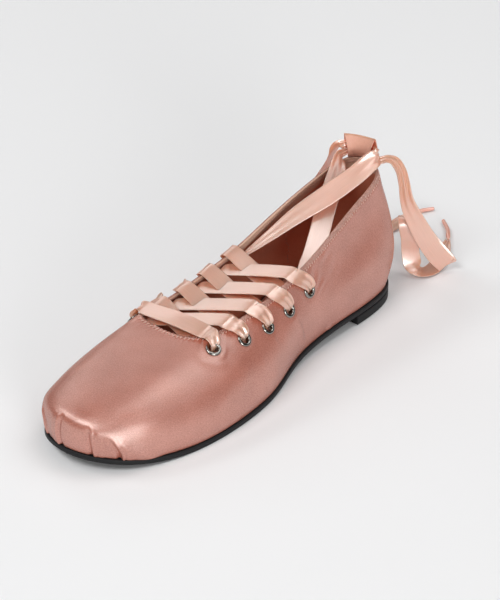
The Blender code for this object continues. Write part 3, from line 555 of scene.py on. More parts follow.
# sections round the upper, in millimetres: the foot line's place, how far the side bulges out and up, how far
# in the high control point reaches, dips and flares, and the topline's place
sectionColumns = ("footX", "footY", "bulgeOut", "bulgeUp", "reach", "dip", "flare", "topX", "topY", "topZ")
sectionRows = (
    (-27.0, 0.0, 7.0, 26.0, 0.0, 20.0, 6.0, -24.5, -1.0, 79.0),
    (-18.0, 20.5, 7.0, 26.0, 0.0, 20.0, 5.0, -19.0, 12.0, 76.5),
    (8.0, 27.5, 6.0, 26.0, 0.0, 20.0, 3.0, 6.0, 18.0, 71.0),
    (42.0, 27.0, 6.0, 24.0, 0.0, 18.0, 3.0, 40.0, 21.5, 61.5),
    (74.0, 29.0, 6.0, 24.0, 0.1, 14.0, 4.0, 70.0, 23.0, 54.0),
    (104.0, 37.5, 4.0, 24.0, 0.2, 10.0, 3.0, 97.0, 23.0, 49.8),
    (134.0, 41.0, 2.0, 24.0, 0.4, 8.0, 1.0, 118.5, 21.5, 48.3),
    (164.0, 39.0, 0.0, 23.0, 0.5, 7.0, 0.0, 133.0, 17.0, 46.4),
    (190.0, 31.5, 0.0, 23.0, 0.58, 7.0, 0.0, 138.4, 9.5, 45.2),
    (211.0, 18.0, 1.0, 23.0, 0.66, 8.0, 0.0, 139.8, 1.0, 44.6),
    (221.5, -4.0, 2.0, 22.0, 0.7, 9.0, 0.0, 139.7, -7.0, 44.1),
    (214.5, -27.0, 2.0, 22.0, 0.64, 8.0, 0.0, 139.5, -15.0, 43.8),
    (195.5, -38.2, 1.0, 22.0, 0.56, 7.0, 0.0, 138.9, -23.0, 43.5),
    (168.0, -41.0, 1.0, 23.0, 0.5, 7.0, 0.0, 135.0, -27.5, 43.6),
    (138.0, -40.0, 2.0, 23.0, 0.4, 8.0, 1.0, 118.0, -26.0, 44.6),
    (108.0, -30.5, 5.0, 24.0, 0.2, 10.0, 4.0, 97.0, -24.5, 47.0),
    (76.0, -20.6, 8.0, 24.0, 0.0, 14.0, 5.0, 70.0, -22.5, 52.0),
    (42.0, -23.0, 7.0, 24.0, 0.0, 18.0, 3.0, 40.0, -20.5, 61.0),
    (8.0, -27.0, 6.0, 26.0, 0.0, 20.0, 3.0, 6.0, -17.0, 71.5),
    (-18.0, -20.5, 7.0, 26.0, 0.0, 20.0, 5.0, -18.5, -12.5, 77.0),
)
section = {name: np.array([row[i] for row in sectionRows]) for i, name in enumerate(sectionColumns)}
footPlan = np.column_stack([section["footX"], section["footY"]])
knots = runLength(footPlan, closed=True)
roundLength = knots[-1]


def closedSpline(values, u):
    # the closed cubic through values at the knots, whose first and second slopes agree where two cubics meet
    count = len(values)
    step = np.diff(knots)
    before = np.roll(step, 1)
    index = np.arange(count)
    system = np.zeros((count, count))
    system[index, index] = 2 * (step + before)
    system[index, (index - 1) % count] += step
    system[index, (index + 1) % count] += before
    rise = (np.roll(values, -1) - values) / step
    slope = np.linalg.solve(system, 3 * (step * np.roll(rise, 1) + before * rise))
    u = np.mod(u, roundLength)
    k = np.clip(np.searchsorted(knots, u, side="right") - 1, 0, count - 1)
    t = (u - knots[k]) / step[k]
    after = (k + 1) % count
    start = (2 * t**3 - 3 * t**2 + 1) * values[k] + (t**3 - 2 * t**2 + t) * step[k] * slope[k]
    end = (3 * t**2 - 2 * t**3) * values[after] + (t**3 - t**2) * step[k] * slope[after]
    return start + end


def sectionValue(name, u):
    # one column of the sections, this far round the foot line
    return closedSpline(section[name], u)


def toplineOf(u):
    # the upper's top edge, this far round the foot line
    return np.column_stack([sectionValue(name, u) for name in ("topX", "topY", "topZ")])


def isOnSide(points, sign):
    # whether each point of a line lies well out on the side with this sign of y
    return points[:, 1] * sign > 5


def footLine(u):
    # the line where the upper meets the sole, in plan, and the outward direction across it
    before, place, after = (
        np.stack([sectionValue("footX", at), sectionValue("footY", at)], axis=-1)
        for at in (u - shoe["smallStep"], u, u + shoe["smallStep"])
    )
    run = unit(after - before)
    return place, np.stack([-run[..., 1], run[..., 0]], axis=-1)


def soleTop(x):
    # level on the heel, an S down the arch, level at the ball, then rising as a square to the toe
    down = np.clip((x - shoe["heelBreastX"]) / (shoe["flatStartX"] - shoe["heelBreastX"]), 0, 1)
    arch = shoe["heelLift"] * (1 - down * down * (3 - 2 * down))
    up = np.clip((x - shoe["flatEndX"]) / (shoe["toeTipX"] - shoe["flatEndX"]), 0, None)
    return shoe["soleThickness"] + arch + shoe["toeSpring"] * up**2


def bezier(p0, p1, p2, p3, t):
    # a cubic arc: its four points weighed by (1-t)^3, 3(1-t)^2 t, 3(1-t) t^2 and t^3
    t = t[None, :, None]
    p0, p1, p2, p3 = (p[:, None, :] for p in (p0, p1, p2, p3))
    return (1 - t) ** 3 * p0 + 3 * (1 - t) ** 2 * t * p1 + 3 * (1 - t) * t**2 * p2 + t**3 * p3


def upperOutside(u, v):
    # v from 0 at the sole to 1 at the topline, in two Bezier arcs that meet at half with one slope
    foot, out = footLine(u)
    level = soleTop(foot[:, 0]) + shoe["gap"]
    bottom = np.column_stack([foot, level])
    low = np.column_stack([foot + out * shoe["lowOut"], level + shoe["lowRise"]])
    bulge = foot + out * sectionValue("bulgeOut", u)[:, None]
    side = np.column_stack([bulge, level + sectionValue("bulgeUp", u)])
    top = toplineOf(u)
    reach, flare = sectionValue("reach", u)[:, None], sectionValue("flare", u)[:, None]
    highPlan = top[:, :2] + (foot - top[:, :2]) * reach + out * flare
    high = np.column_stack([highPlan, top[:, 2] - sectionValue("dip", u)])
    before, after = (low + side) / 2, (side + high) / 2
    middle = (before + after) / 2
    lower = v <= 0.5
    points = np.empty((len(u), len(v), 3))
    points[:, lower] = bezier(bottom, low, before, middle, v[lower] * 2)
    points[:, ~lower] = bezier(middle, after, high, top, v[~lower] * 2 - 1)
    return points


def upperNormals(u, v):
    # outward normals: the way up the wall crossed with the way round it, from small steps both ways
    along = upperOutside(u + shoe["smallStep"], v) - upperOutside(u - shoe["smallStep"], v)
    lower, higher = (np.clip(v + step, 0, 1) for step in (-shoe["smallShare"], shoe["smallShare"]))
    return unit(np.cross(upperOutside(u, higher) - upperOutside(u, lower), along))


sideSign = {"lateral": 1.0, "medial": -1.0}
farAway = 1e3
# how many points are tried along the topline, and round and up the wall, and how far to each side of its
# middle the back is worked out for the heel and the loop
sampling = {"topline": 4000, "round": 900, "up": 301, "backReach": 60, "heelBack": 241, "rimBack": 481}


def toplineAt(side, x):
    # the topline's point on this side at x
    top = toplineOf(np.linspace(0, roundLength, sampling["topline"], endpoint=False))
    misfit = np.abs(top[:, 0] - x) + np.where(isOnSide(top, sideSign[side]), 0.0, farAway)
    return top[int(np.argmin(misfit))]


# from the front: the first one's place along the shoe, the pitch, and the drop below the topline; then the
# ring's bore and rim and the cloth's hole, as radii
eyeletSize = {
    "count": 5, "firstX": 138.6, "pitch": {"lateral": 19.4, "medial": 18.8},
    "firstDrop": 10.5, "dropStep": 0.9, "bore": 2.4, "rim": 4.3, "hole": 3.3, "sides": 40,
}


def placesOnWall():
    # each eyelet's point on the wall, its drop below the topline measured along the wall, with the normal
    # and the way up
    u = np.linspace(0, roundLength, sampling["round"], endpoint=False)
    v = np.linspace(0, 1, sampling["up"])
    fromTop = upperOutside(u, v)[:, ::-1]
    steps = np.linalg.norm(np.diff(fromTop, axis=1), axis=2)
    depth = np.concatenate([np.zeros((len(u), 1)), np.cumsum(steps, axis=1)], axis=1)
    found = {}
    for side, pitch in eyeletSize["pitch"].items():
        for number in range(1, eyeletSize["count"] + 1):
            drop = eyeletSize["firstDrop"] + eyeletSize["dropStep"] * (number - 1)
            level = np.argmin(np.abs(depth - drop), axis=1)
            ring = fromTop[np.arange(len(u)), level]
            misfit = np.abs(ring[:, 0] - eyeletSize["firstX"] + pitch * (number - 1))
            best = int(np.argmin(misfit + np.where(isOnSide(ring, sideSign[side]), 0.0, farAway)))
            at, height = u[best : best + 1], v[::-1][level[best] : level[best] + 1]
            up = unit(upperOutside(at, height + shoe["smallShare"])[0, 0] - ring[best])
            found[side, number] = ring[best], upperNormals(at, height)[0, 0], up
    return found


eyelets = placesOnWall()
print("eyelet places found")


# lacing: one ribbon through all ten eyelets

lacing = {
    "slope": 0.2, "fullWidth": 11.0, "lipUp": 3.0, "backX": -2.0,
    # from eyelet 1 to eyelet 5: how far in front of its eyelet each bar crosses the edge, and how far its
    # middle stands above the straight line across
    "forward": {"lateral": (-4.0, 3.0, 4.5, 6.5, 9.5), "medial": (-5.0, 6.0, 6.5, 7.0, 7.0)},
    "rise": {"lateral": (0.8, 0.4, 0.4, 0.4, 0.6), "medial": (0.8, -1.6, -1.6, -1.6, -1.6)},
    # rows beside an eyelet, each with the ribbon's width and gather: at the mouth, by how far out from the
    # wall and up it; from lip to edge, by share of the way and how far out; over the edge, by how far in,
    # forward and up; back under the edge, by how far in and up; and at the inner mouth, like the first
    "mouth": ((-2.4, 0.3, 4.3, 1.0), (-0.3, 0.5, 4.6, 1.0), (1.8, 1.7, 6.6, 0.9)),
    "climb": ((0.2, 2.6, 8.0, 0.6), (0.6, 2.5, 9.1, 0.2)),
    "over": ((-0.6, 0.0, 1.5, 9.8, 0.03), (4.4, 0.6, 2.1, 10.4, 0.0)),
    "under": ((3.4, -3.2, 11.0, 0.0), (2.6, -7.0, 9.0, 0.3)),
    "innerMouth": ((-3.4, 0.6, 5.0, 1.0),),
    # both ends go in at the top eyelets and meet the free ends: place, width, gather
    "medialStart": ((58.5, -18.4, 48.6, 3.4, 0.6), (61.5, -19.4, 45.0, 3.6, 0.8)),
    "lateralEnd": ((59.0, 20.0, 41.0, 6.0, 0.8), (56.5, 18.2, 43.2, 7.0, 0.6)),
}


def rimOver(side, x):
    # the topline's point at x, and the way in from it across the shoe
    rim = toplineAt(side, x)
    return rim, np.array([0, -np.sign(rim[1]), 0])


def besideEyelet(side, number, name):
    # rows that stand this far out from the eyelet's middle and up the wall
    place, normal, up = eyelets[side, number]
    return [(*(place + normal * out + up * rise), *band) for out, rise, *band in lacing[name]]


def eyeletMouth(side, number):
    # rows from inside the bore, out over the ring's lip, up the wall and over the edge
    place, normal, up = eyelets[side, number]
    rim, inward = rimOver(side, place[0] + lacing["forward"][side][number - 1])
    overRows = [
        (*(rim + inward * back + np.array([ahead, 0, rise])), *band)
        for back, ahead, rise, *band in lacing["over"]
    ]
    lip, over = place + up * lacing["lipUp"], np.array(overRows[0][:3])
    climbRows = [
        (*(lip + (over - lip) * share + normal * out), *band) for share, out, *band in lacing["climb"]
    ]
    return besideEyelet(side, number, "mouth") + climbRows + overRows


def eyeletBack(side, number):
    # rows from under the edge to the eyelet's inner mouth
    rim, inward = rimOver(side, eyelets[side, number][0][0] + lacing["backX"])
    underRows = [
        (*(rim + inward * back + np.array([0, 0, rise])), *band) for back, rise, *band in lacing["under"]
    ]
    return underRows + besideEyelet(side, number, "innerMouth")


def middleRow(before, after, rise):
    # the row half way across, this far above the straight line between its neighbours
    middle = (np.array(before[:3]) + np.array(after[:3])) / 2 + np.array([0, 0, rise])
    return (*middle, lacing["fullWidth"], 0.0)


def crossBar(side, number):
    # outside its own eyelet, over the edge, across, and under the other edge to the next eyelet forward
    start = eyeletMouth(side, number)
    end = eyeletBack("medial" if side == "lateral" else "lateral", number - 1)
    return start + [middleRow(start[-1], end[0], lacing["rise"][side][number - 1])] + end


def frontBar():
    # over both edges in front, with no crossing
    left, right = eyeletMouth("medial", 1), eyeletMouth("lateral", 1)
    return left + [middleRow(left[-1], right[-1], lacing["rise"]["lateral"][0])] + right[::-1]


def laceRows():
    # down one side of the zigzag to the front bar, and back up the other
    there = [("medial", 5), ("lateral", 4), ("medial", 3), ("lateral", 2)]
    back = [("medial", 2), ("lateral", 3), ("medial", 4), ("lateral", 5)]
    rows = list(lacing["medialStart"])
    for side, number in there:
        rows += crossBar(side, number)
    rows += frontBar()
    for side, number in back:
        rows += crossBar(side, number)[::-1]
    rows += lacing["lateralEnd"]
    return [(x, y, z, 1.0, 0.0, -lacing["slope"], width, gather) for x, y, z, width, gather in rows]


ribbonPiece("lacing", laceRows(), ["lace_front_bar", *[f"lace_crossing_{n}" for n in range(1, 5)]])
print("lacing made")


# upper

# stitching, in millimetres: its depth below the collar's edge, the pitch, length and slant of one stitch, and
# the thread; the tape's and the lining's stitches run from and to a depth below the edge; the stitches
# wander by this much, at this many radians a millimetre
seam = {
    "collarDepth": 2.2, "pitch": 1.9, "length": 0.75, "slant": 0.8, "thread": 0.24,
    "throatPitch": 2.3, "throatSlant": 1.1, "throatDepth": (0.35, 2.1), "throatThread": 1.15,
    "tapePitch": 1.6, "tapeSlant": 0.45, "tapeDepth": (1.0, 2.5),
    "liningDown": (4.0, 56.0), "liningLength": 0.9, "collarWander": (0.12, 1.7), "throatWander": (0.2, 2.3),
    "liningLine": ((4.0, 508.0), (33.6, 512.5), (45.0, 517.0), (50.0, 516.0), (56.0, 515.0)),
}
# how finely the cloth is worked out: steps round the foot, finer over the toe, rows up each half of the wall,
# over the edge and down inside; where the outer face ends, as a share, and where the throat begins
upperShape = {
    "coarseStep": 1.25, "toeStart": 236.0, "toeEnd": 332.0, "toeStep": 0.37,
    "lowRows": 36, "highRows": 58, "rimRows": 6, "innerRows": 20, "topEnd": 0.991, "throatX": (134.5, 138.0),
}
# the cloth round an eyelet: flat inside the first radius, free beyond the second, with a low welt round it,
# and a soft crescent in front of the first outer eyelet
eyeletCloth = {
    "flat": 4.8, "free": 8.5, "under": 0.1, "welt": 0.08, "weltRadius": 7.0, "weltWidth": 1.8,
    "crescent": 0.5, "crescentRadius": 9.5, "crescentWidth": 2.6,
}
# the toe box's ridge: place round the foot, and height above the sole along the wall
ridgeRows = (
    (234.0, 0.0), (239.5, 1.2), (243.4, 3.0), (249.8, 6.2), (254.0, 9.2), (258.3, 11.6), (264.3, 14.6),
    (270.4, 16.4), (276.7, 17.6), (283.7, 18.2), (290.3, 18.2), (300.7, 17.4), (309.0, 16.8), (320.0, 15.4),
    (330.0, 13.5),
)
toeBox = {
    "ridge": 1.6, "ridgeWidth": 5.5, "round": 2.6, "hollow": 0.35, "hollowBelow": 9.5, "hollowWidth": 4.0,
    "flat": 0.1, "flatAbove": 9.0, "flatWidth": 6.5, "from": (229.0, 244.0), "to": (312.0, 331.0),
}
# tucks down the toe's front: place round the foot at the ridge, half way and at the sole, top, depth, and the
# side it leans to
tuckColumns = ("high", "middle", "foot", "top", "deep", "lean")
tuckRows = (
    (261.0, 256.2, 254.6, 13.2, 1.5, 1.0),
    (271.6, 270.2, 269.2, 17.6, 1.1, 1.0),
    (290.4, 291.6, 290.6, 19.0, 1.2, -1.0),
    (309.0, 305.6, 303.2, 15.5, 1.2, -1.0),
)
# across a tuck, as size, place and width: its ridge, the trough it leans from, the swell on its other side,
# and the pocket beside its head, with how far below the tuck's top that sits and how tall it is
tuckShape = {
    "ridge": (0.6, 0.0, 0.85), "trough": (-0.8, 1.9, 1.15), "swell": (0.35, -2.6, 2.2),
    "pocket": (-0.35, 4.5, 3.6), "pocketBelow": 6.5, "pocketHeight": 2.6, "fade": (-4.5, 0.5),
}
# gathers from the throat's edge, a ripple below the collar, and the dip where the stitches sit
toplineCloth = {
    "gather": 0.32, "gatherPitch": 2.5, "gatherFade": 2.4, "throatDip": (0.35, 1.6, 0.9),
    "ripple": 0.12, "ripplePitch": 4.2, "rippleDepth": 3.4, "rippleWidth": 2.4,
    "seamDip": 0.25, "seamWidth": 0.6, "bandDepth": 0.9, "bandInset": 0.3,
}
# soft creases on the outer side: start and end on the wall as x and height z, half width, and depth (a ridge
# where negative)
creaseColumns = ("fromX", "fromZ", "toX", "toZ", "wide", "deep")
creaseRows = (
    (77.3, 34.5, 69.6, 14.3, 1.4, -0.55),
    (75.0, 33.0, 67.5, 15.0, 1.6, 0.3),
    (77.0, 28.0, 72.5, 16.0, 1.2, -0.3),
    (99.9, 35.8, 97.5, 28.0, 1.5, -0.4),
    (98.2, 35.0, 95.5, 28.0, 1.5, 0.25),
    (43.4, 15.0, 42.6, 8.5, 1.7, -0.55),
    (46.0, 15.0, 45.0, 9.0, 2.0, 0.25),
    (142.0, 30.0, 158.0, 12.0, 5.0, -0.35),
    (120.0, 30.0, 134.0, 12.0, 4.5, 0.25),
    (118.0, 33.0, 112.0, 22.0, 2.6, -0.25),
    (150.0, 34.0, 176.0, 22.0, 5.5, -0.3),
    (20.0, 62.0, 10.0, 52.0, 3.5, -0.3),
)
# puckers where the collar is drawn in behind the last eyelet: middle as x and z, size, and depth
puckers = {"place": (50.0, 49.0), "size": (11.0, 8.0), "deep": 0.42, "clear": (2.0, 4.0)}
innerCreases = 0.6  # how deep the creases are on the inner side, as a share of the outer side's
unevenness = 0.12  # the stretched cloth's slow unevenness, in millimetres


def throatShare(u):
    # 0 along the collar and 1 along the throat, by how far forward the topline is
    return smoothstep(*upperShape["throatX"], sectionValue("topX", u))


def eyeletFolds(points):
    # the cloth flattened round each eyelet, a welt as a hump of the distance from it, and the crescent, a
    # hump of the distance below and ahead of the first outer one
    shape = eyeletCloth
    out = np.zeros(points.shape[:2])
    for place, normal, _ in eyelets.values():
        away = points - place
        off = np.sum(away * normal, axis=-1)
        radius = np.linalg.norm(away - off[..., None] * normal, axis=-1)
        flattened = (off + shape["under"]) * smoothstep(shape["free"], shape["flat"], radius)
        welt = shape["welt"] * hill(radius - shape["weltRadius"], shape["weltWidth"])
        out += np.where((np.abs(off) < 8) & (radius < 16), welt - flattened, 0)
    away = points - eyelets["lateral", 1][0]
    crescent = hill(np.linalg.norm(away, axis=-1) - shape["crescentRadius"], shape["crescentWidth"])
    crescent *= smoothstep(4.0, -4.0, away[..., 2]) * smoothstep(-3.0, 4.0, away[..., 0])
    return out + shape["crescent"] * crescent


def toeFolds(u, height):
    # a ridge round the toe's front, an exponential of the height above its line with a rounded top, less a
    # hump below it and one above; and the tucks that stop at it, each a sum of humps across a curved line
    above = height - np.interp(u, *np.array(ridgeRows).T)
    rounded = toeBox["round"] - np.sqrt(above**2 + toeBox["round"] ** 2)
    box = toeBox["ridge"] * np.exp(rounded / toeBox["ridgeWidth"])
    box -= toeBox["hollow"] * hill(above + toeBox["hollowBelow"], toeBox["hollowWidth"])
    box -= toeBox["flat"] * hill(above - toeBox["flatAbove"], toeBox["flatWidth"])
    out = smoothstep(*toeBox["from"], u) * (1 - smoothstep(*toeBox["to"], u)) * box
    for row in tuckRows:
        tuck = dict(zip(tuckColumns, row))
        share = height / tuck["top"]
        centre = tuck["foot"] + (4 * tuck["middle"] - 3 * tuck["foot"] - tuck["high"]) * share
        centre += 2 * (tuck["high"] + tuck["foot"] - 2 * tuck["middle"]) * share**2
        off = u - np.where(share < 1.3, centre, tuck["high"])
        keep = tuck["deep"] * (1 - smoothstep(*(tuck["top"] + limit for limit in tuckShape["fade"]), height))
        for name in ("ridge", "trough", "swell"):
            size, at, wide = tuckShape[name]
            out += keep * size * hill(off - at * tuck["lean"], wide)
        size, at, wide = tuckShape["pocket"]
        beside = hill(height - tuck["top"] + tuckShape["pocketBelow"], tuckShape["pocketHeight"])
        out += size * beside * hill(off - at * tuck["lean"], wide)
    return out


def toplineFolds(u, depth, along):
    # waves along the edge, as cosines of the way along it, that fade with the depth below it
    shape = toplineCloth
    front = throatShare(u)
    phase = turn * along / shape["gatherPitch"] + 0.9 * np.sin(along / 7.0)
    gather = np.cos(phase) * np.exp(-depth / shape["gatherFade"]) * (1 - 0.3 * np.exp(-depth / 0.4))
    size, at, wide = shape["throatDip"]
    wander = np.sin(along / 5.3) + 0.7 * np.sin(along / 2.9 + 1.0)
    ripple = hill(depth - shape["rippleDepth"], shape["rippleWidth"])
    ripple *= np.cos(turn * along / shape["ripplePitch"] + 1.5 * wander)
    dip = hill(depth - seam["collarDepth"], shape["seamWidth"])
    throat = shape["gather"] * gather - size * hill(depth - at, wide)
    return front * throat + (1 - front) * (shape["ripple"] * ripple - shape["seamDip"] * dip)


def creaseFolds(points, depth):
    # creases, each a hump of the distance from a straight line on the wall; puckers, as crossed sines within
    # an oval; and a slow unevenness, a product of two sines
    x, y, z = points[..., 0], points[..., 1], points[..., 2]
    sides = points[..., [0, 2]]
    out = np.zeros(depth.shape)
    for row in creaseRows:
        crease = dict(zip(creaseColumns, row))
        start = np.array([crease["fromX"], crease["fromZ"]])
        line = np.array([crease["toX"], crease["toZ"]]) - start
        share = np.clip(((sides - start) @ line) / (line @ line), 0, 1)
        distance = np.linalg.norm(sides - start - share[..., None] * line, axis=-1)
        fade = hill(distance, crease["wide"]) * (0.35 + 0.65 * np.sin(math.pi * np.clip(share, 0.08, 0.92)))
        out -= crease["deep"] * fade * np.where(y > 0, 1.0, innerCreases)
    away = (sides - np.array(puckers["place"])) / np.array(puckers["size"])
    ripple = np.sin(x / 1.5 + z / 1.1 + 1.6 * np.sin(z / 3.1) + np.sin(x / 4.3))
    ripple *= 0.6 + 0.5 * np.sin(x / 3.3 - z / 4.7 + 0.8)
    ripple *= np.exp(-np.sum(away**2, axis=-1)) * (y > 0) * smoothstep(*puckers["clear"], depth)
    slow = np.sin(x / 9.0 + z / 6.0) * np.sin(z / 8.0 + y / 11.0 + 1.3)
    return out + puckers["deep"] * ripple + unevenness * slow


def placesRound():
    # places round the foot line, closer together over the toe's tucks
    shape = upperShape
    return np.concatenate([
        np.arange(0, shape["toeStart"], shape["coarseStep"]),
        np.arange(shape["toeStart"], shape["toeEnd"], shape["toeStep"]),
        np.arange(shape["toeEnd"], roundLength - 0.6, shape["coarseStep"]),
    ])


def makeUpper():
    # One closed shell: up the outer face, round the edge as a half circle, down the inner face. The outer
    # face stands off the smooth wall by the sum of the folds, and the inner face follows their hollows.
    shape = upperShape
    u = placesRound()
    low = np.linspace(0, 0.5, shape["lowRows"], endpoint=False)
    high = 0.5 + (shape["topEnd"] - 0.5) * (1 - (1 - np.linspace(0, 1, shape["highRows"])) ** 1.35)
    v = np.concatenate([low, high])
    outer, normals = upperOutside(u, v), upperNormals(u, v)
    steps = np.linalg.norm(np.diff(outer, axis=1), axis=2)
    height = np.concatenate([np.zeros((len(u), 1)), np.cumsum(steps, axis=1)], axis=1)
    depth = height[:, -1:] - height
    along = runLength(outer[:, -1])
    folds = eyeletFolds(outer) + toeFolds(u[:, None], height) + creaseFolds(outer, depth)
    folds += toplineFolds(u[:, None], depth, along[:, None])
    outerCloth = outer + normals * folds[:, :, None]
    # the edge, turned over as a half circle
    radius = shoe["wall"] / 2
    endNormal, endUp = normals[:, -1], unit(outer[:, -1] - outer[:, -2])
    angle = np.linspace(0, math.pi, shape["rimRows"] + 2)[1:-1][None, :, None]
    centre = outerCloth[:, -1] - endNormal * radius
    rim = centre[:, None] + radius * (endNormal[:, None] * np.cos(angle) + endUp[:, None] * np.sin(angle))
    innerV = np.linspace(shape["topEnd"], 0, shape["innerRows"])
    innerNormals = upperNormals(u, innerV)
    inner = upperOutside(u, innerV) - innerNormals * shoe["wall"]
    inner += innerNormals * np.minimum(np.stack([np.interp(innerV, v, row) for row in folds]), 0)[:, :, None]
    inner[:, 0] = centre - endNormal * radius
    grid = np.concatenate([outerCloth, rim, inner], axis=1)
    rows, columns = grid.shape[:2]
    quads, cornerRow, cornerColumn = gridQuads(rows, columns, True, True)
    # the threads: the way round, and the way down from the edge, in tenths of a metre
    outerCount, rimEnd = len(v), len(v) + shape["rimRows"] + 2
    climb = runLength(grid[rows // 3])
    climb = np.append(climb, climb[-1] + shoe["wall"]) / 100
    down = np.broadcast_to(climb - climb[outerCount - 1], (rows, columns + 1)).copy()
    down[:, :outerCount] = -depth / 100
    alongAt = np.append(u, roundLength) / 100
    uv = np.stack([alongAt[cornerRow], down[cornerRow % rows, cornerColumn]], axis=-1)
    # satin, gathered above the stitches and over the edge, then a narrow tape inside it, then the lining
    row, column = cornerRow[:, 0] % rows, cornerColumn[:, 0]
    front = throatShare(u)
    band = seam["collarDepth"] * (1 - front) + toplineCloth["bandDepth"] * front - toplineCloth["bandInset"]
    inBand = (column < outerCount) & (depth[row, np.minimum(column, outerCount - 1)] < band[row])
    tapeStart, tapeEnd = outerCount + shape["rimRows"] // 2, rimEnd - 1
    material = np.where(column < tapeStart, 0, np.where(column < tapeEnd, 1, 2))
    material = np.where(inBand | ((column >= outerCount - 1) & (column < tapeStart)), 3, material)
    materials = [satin, tapeCloth, liningCloth, gatheredSatin]
    piece = newPiece(
        "upper_cloth", grid.reshape(-1, 3), [quads], materials, ["upper"], [uv], material
    )
    return piece, {
        "u": u, "depth": depth, "along": along, "front": front, "outer": outerCloth, "normals": normals,
        "inner": inner, "innerNormals": innerNormals,
    }


def cutHoles(piece):
    # one joined set of round cutters through the wall at the eyelets, taken away in a single Boolean
    sides, inside, outside = 32, 5.0, 4.0
    angle = np.linspace(0, turn, sides, endpoint=False)[:, None]
    j = np.arange(sides)
    around = np.stack([j, (j + 1) % sides, sides + (j + 1) % sides, sides + j], axis=1)
    ends = np.stack([j[::-1], sides + j])
    points, quads, caps = [], [], []
    for number, (place, normal, up) in enumerate(eyelets.values()):
        circle = eyeletSize["hole"] * (np.cos(angle) * np.cross(up, normal) + np.sin(angle) * up)
        points += [place + circle - normal * inside, place + circle + normal * outside]
        quads += (number * 2 * sides + around).tolist()
        caps += (number * 2 * sides + ends).tolist()
    mesh = bpy.data.meshes.new("cutters")
    mesh.from_pydata((np.concatenate(points) * mm).tolist(), [], quads + caps)
    cutters = bpy.data.objects.new("cutters", mesh)
    bpy.context.scene.collection.objects.link(cutters)
    modifier = piece.modifiers.new("holes", "BOOLEAN")
    modifier.operation, modifier.solver, modifier.object = "DIFFERENCE", "MANIFOLD", cutters
    cut = bpy.data.meshes.new_from_object(piece.evaluated_get(bpy.context.evaluated_depsgraph_get()))
    piece.modifiers.clear()
    if len(cut.polygons) > len(piece.data.polygons) // 2:  # a cut that failed leaves next to nothing
        piece.data = cut
    triangles = sum(len(face.vertices) - 2 for face in cut.polygons)
    print(f"holes cut: {len(piece.data.polygons)} faces, {triangles} triangles")
    bpy.data.objects.remove(cutters)


upperPiece, cloth = makeUpper()
cutHoles(upperPiece)
print("upper made")


def clothAt(along, depth):
    # points on the outer cloth and its normals, this far along the topline and this far down from it: a
    # straight mix of the grid's four nearest points
    last = len(cloth["along"]) - 1
    row = np.interp(along, cloth["along"], np.arange(last + 1))
    first = np.floor(row).astype(int)
    each = np.arange(len(row))
    result = []
    for low in (first, np.minimum(first + 1, last)):
        down = cloth["depth"][low]
        column = np.clip(np.sum(down > depth[:, None], axis=1), 1, down.shape[1] - 1)
        before, after = down[each, column - 1], down[each, column]
        share = ((before - depth) / np.maximum(before - after, 1e-6))[:, None]
        result.append([
            cloth[name][low, column - 1] * (1 - share) + cloth[name][low, column] * share
            for name in ("outer", "normals")
        ])
    share = (row - first)[:, None]
    return [a * (1 - share) + b * share for a, b in zip(*result)]


def innerAt(u, depth):
    # points on the lining and its normals, at these places round the foot and this far down from the edge
    row = np.rint(np.interp(u, cloth["u"], np.arange(len(cloth["u"])))).astype(int)
    line, normal = cloth["inner"][row], -cloth["innerNormals"][row]
    down = np.cumsum(np.linalg.norm(np.diff(line, axis=1), axis=2), axis=1)
    down = np.concatenate([np.zeros((len(row), 1)), down], axis=1)
    column = np.clip(np.sum(down < depth[:, None], axis=1), 1, down.shape[1] - 1)
    each = np.arange(len(row))
    before, after = down[each, column - 1], down[each, column]
    share = np.clip((depth - before) / (after - before), 0, 1)[:, None]
    point, facing = (
        values[each, column - 1] * (1 - share) + values[each, column] * share for values in (line, normal)
    )
    return point, unit(facing)


# along one stitch: share of its length, girth and height off the cloth as shares of the thread's radius
stitch = {
    "share": (0.0, 0.14, 0.5, 0.86, 1.0), "girth": (0.35, 0.95, 1.1, 0.95, 0.35),
    "bow": (-0.9, 0.2, 0.6, 0.2, -0.9), "sides": 6,
}


def makeStitches(name, start, end, radius):
    # joined stitches, each a six-sided tube from its start to its end, which are given as points and
    # normals: it bows out in the middle and tapers at both ends
    rings, sides = len(stitch["share"]), stitch["sides"]
    share, girth, bow = (np.array(stitch[key]) for key in ("share", "girth", "bow"))
    normals = unit(start[1] + end[1])
    reach = end[0] - start[0]
    side = unit(np.cross(unit(reach), normals))[:, None]
    angle = np.linspace(0, turn, sides, endpoint=False)[None, :, None]
    centre = start[0][:, None] + reach[:, None] * share[:, None] + normals[:, None] * (bow * radius)[:, None]
    spoke = np.cos(angle) * side + np.sin(angle) * normals[:, None]
    points = centre[:, :, None] + spoke[:, None] * (girth * radius)[:, None, None]
    quads, _, _ = gridQuads(rings, sides, False, True)
    caps = np.stack([np.arange(sides)[::-1], (rings - 1) * sides + np.arange(sides)])
    first = rings * sides * np.arange(len(reach))[:, None, None]
    faces = [(first + quads[:, [0, 3, 2, 1]]).reshape(-1, 4), (first + caps).reshape(-1, sides)]
    newPiece(name, points.reshape(-1, 3), faces, [paleThread])


def frontAt(along):
    # the throat's share at these distances along the topline
    return np.interp(along, cloth["along"], cloth["front"])


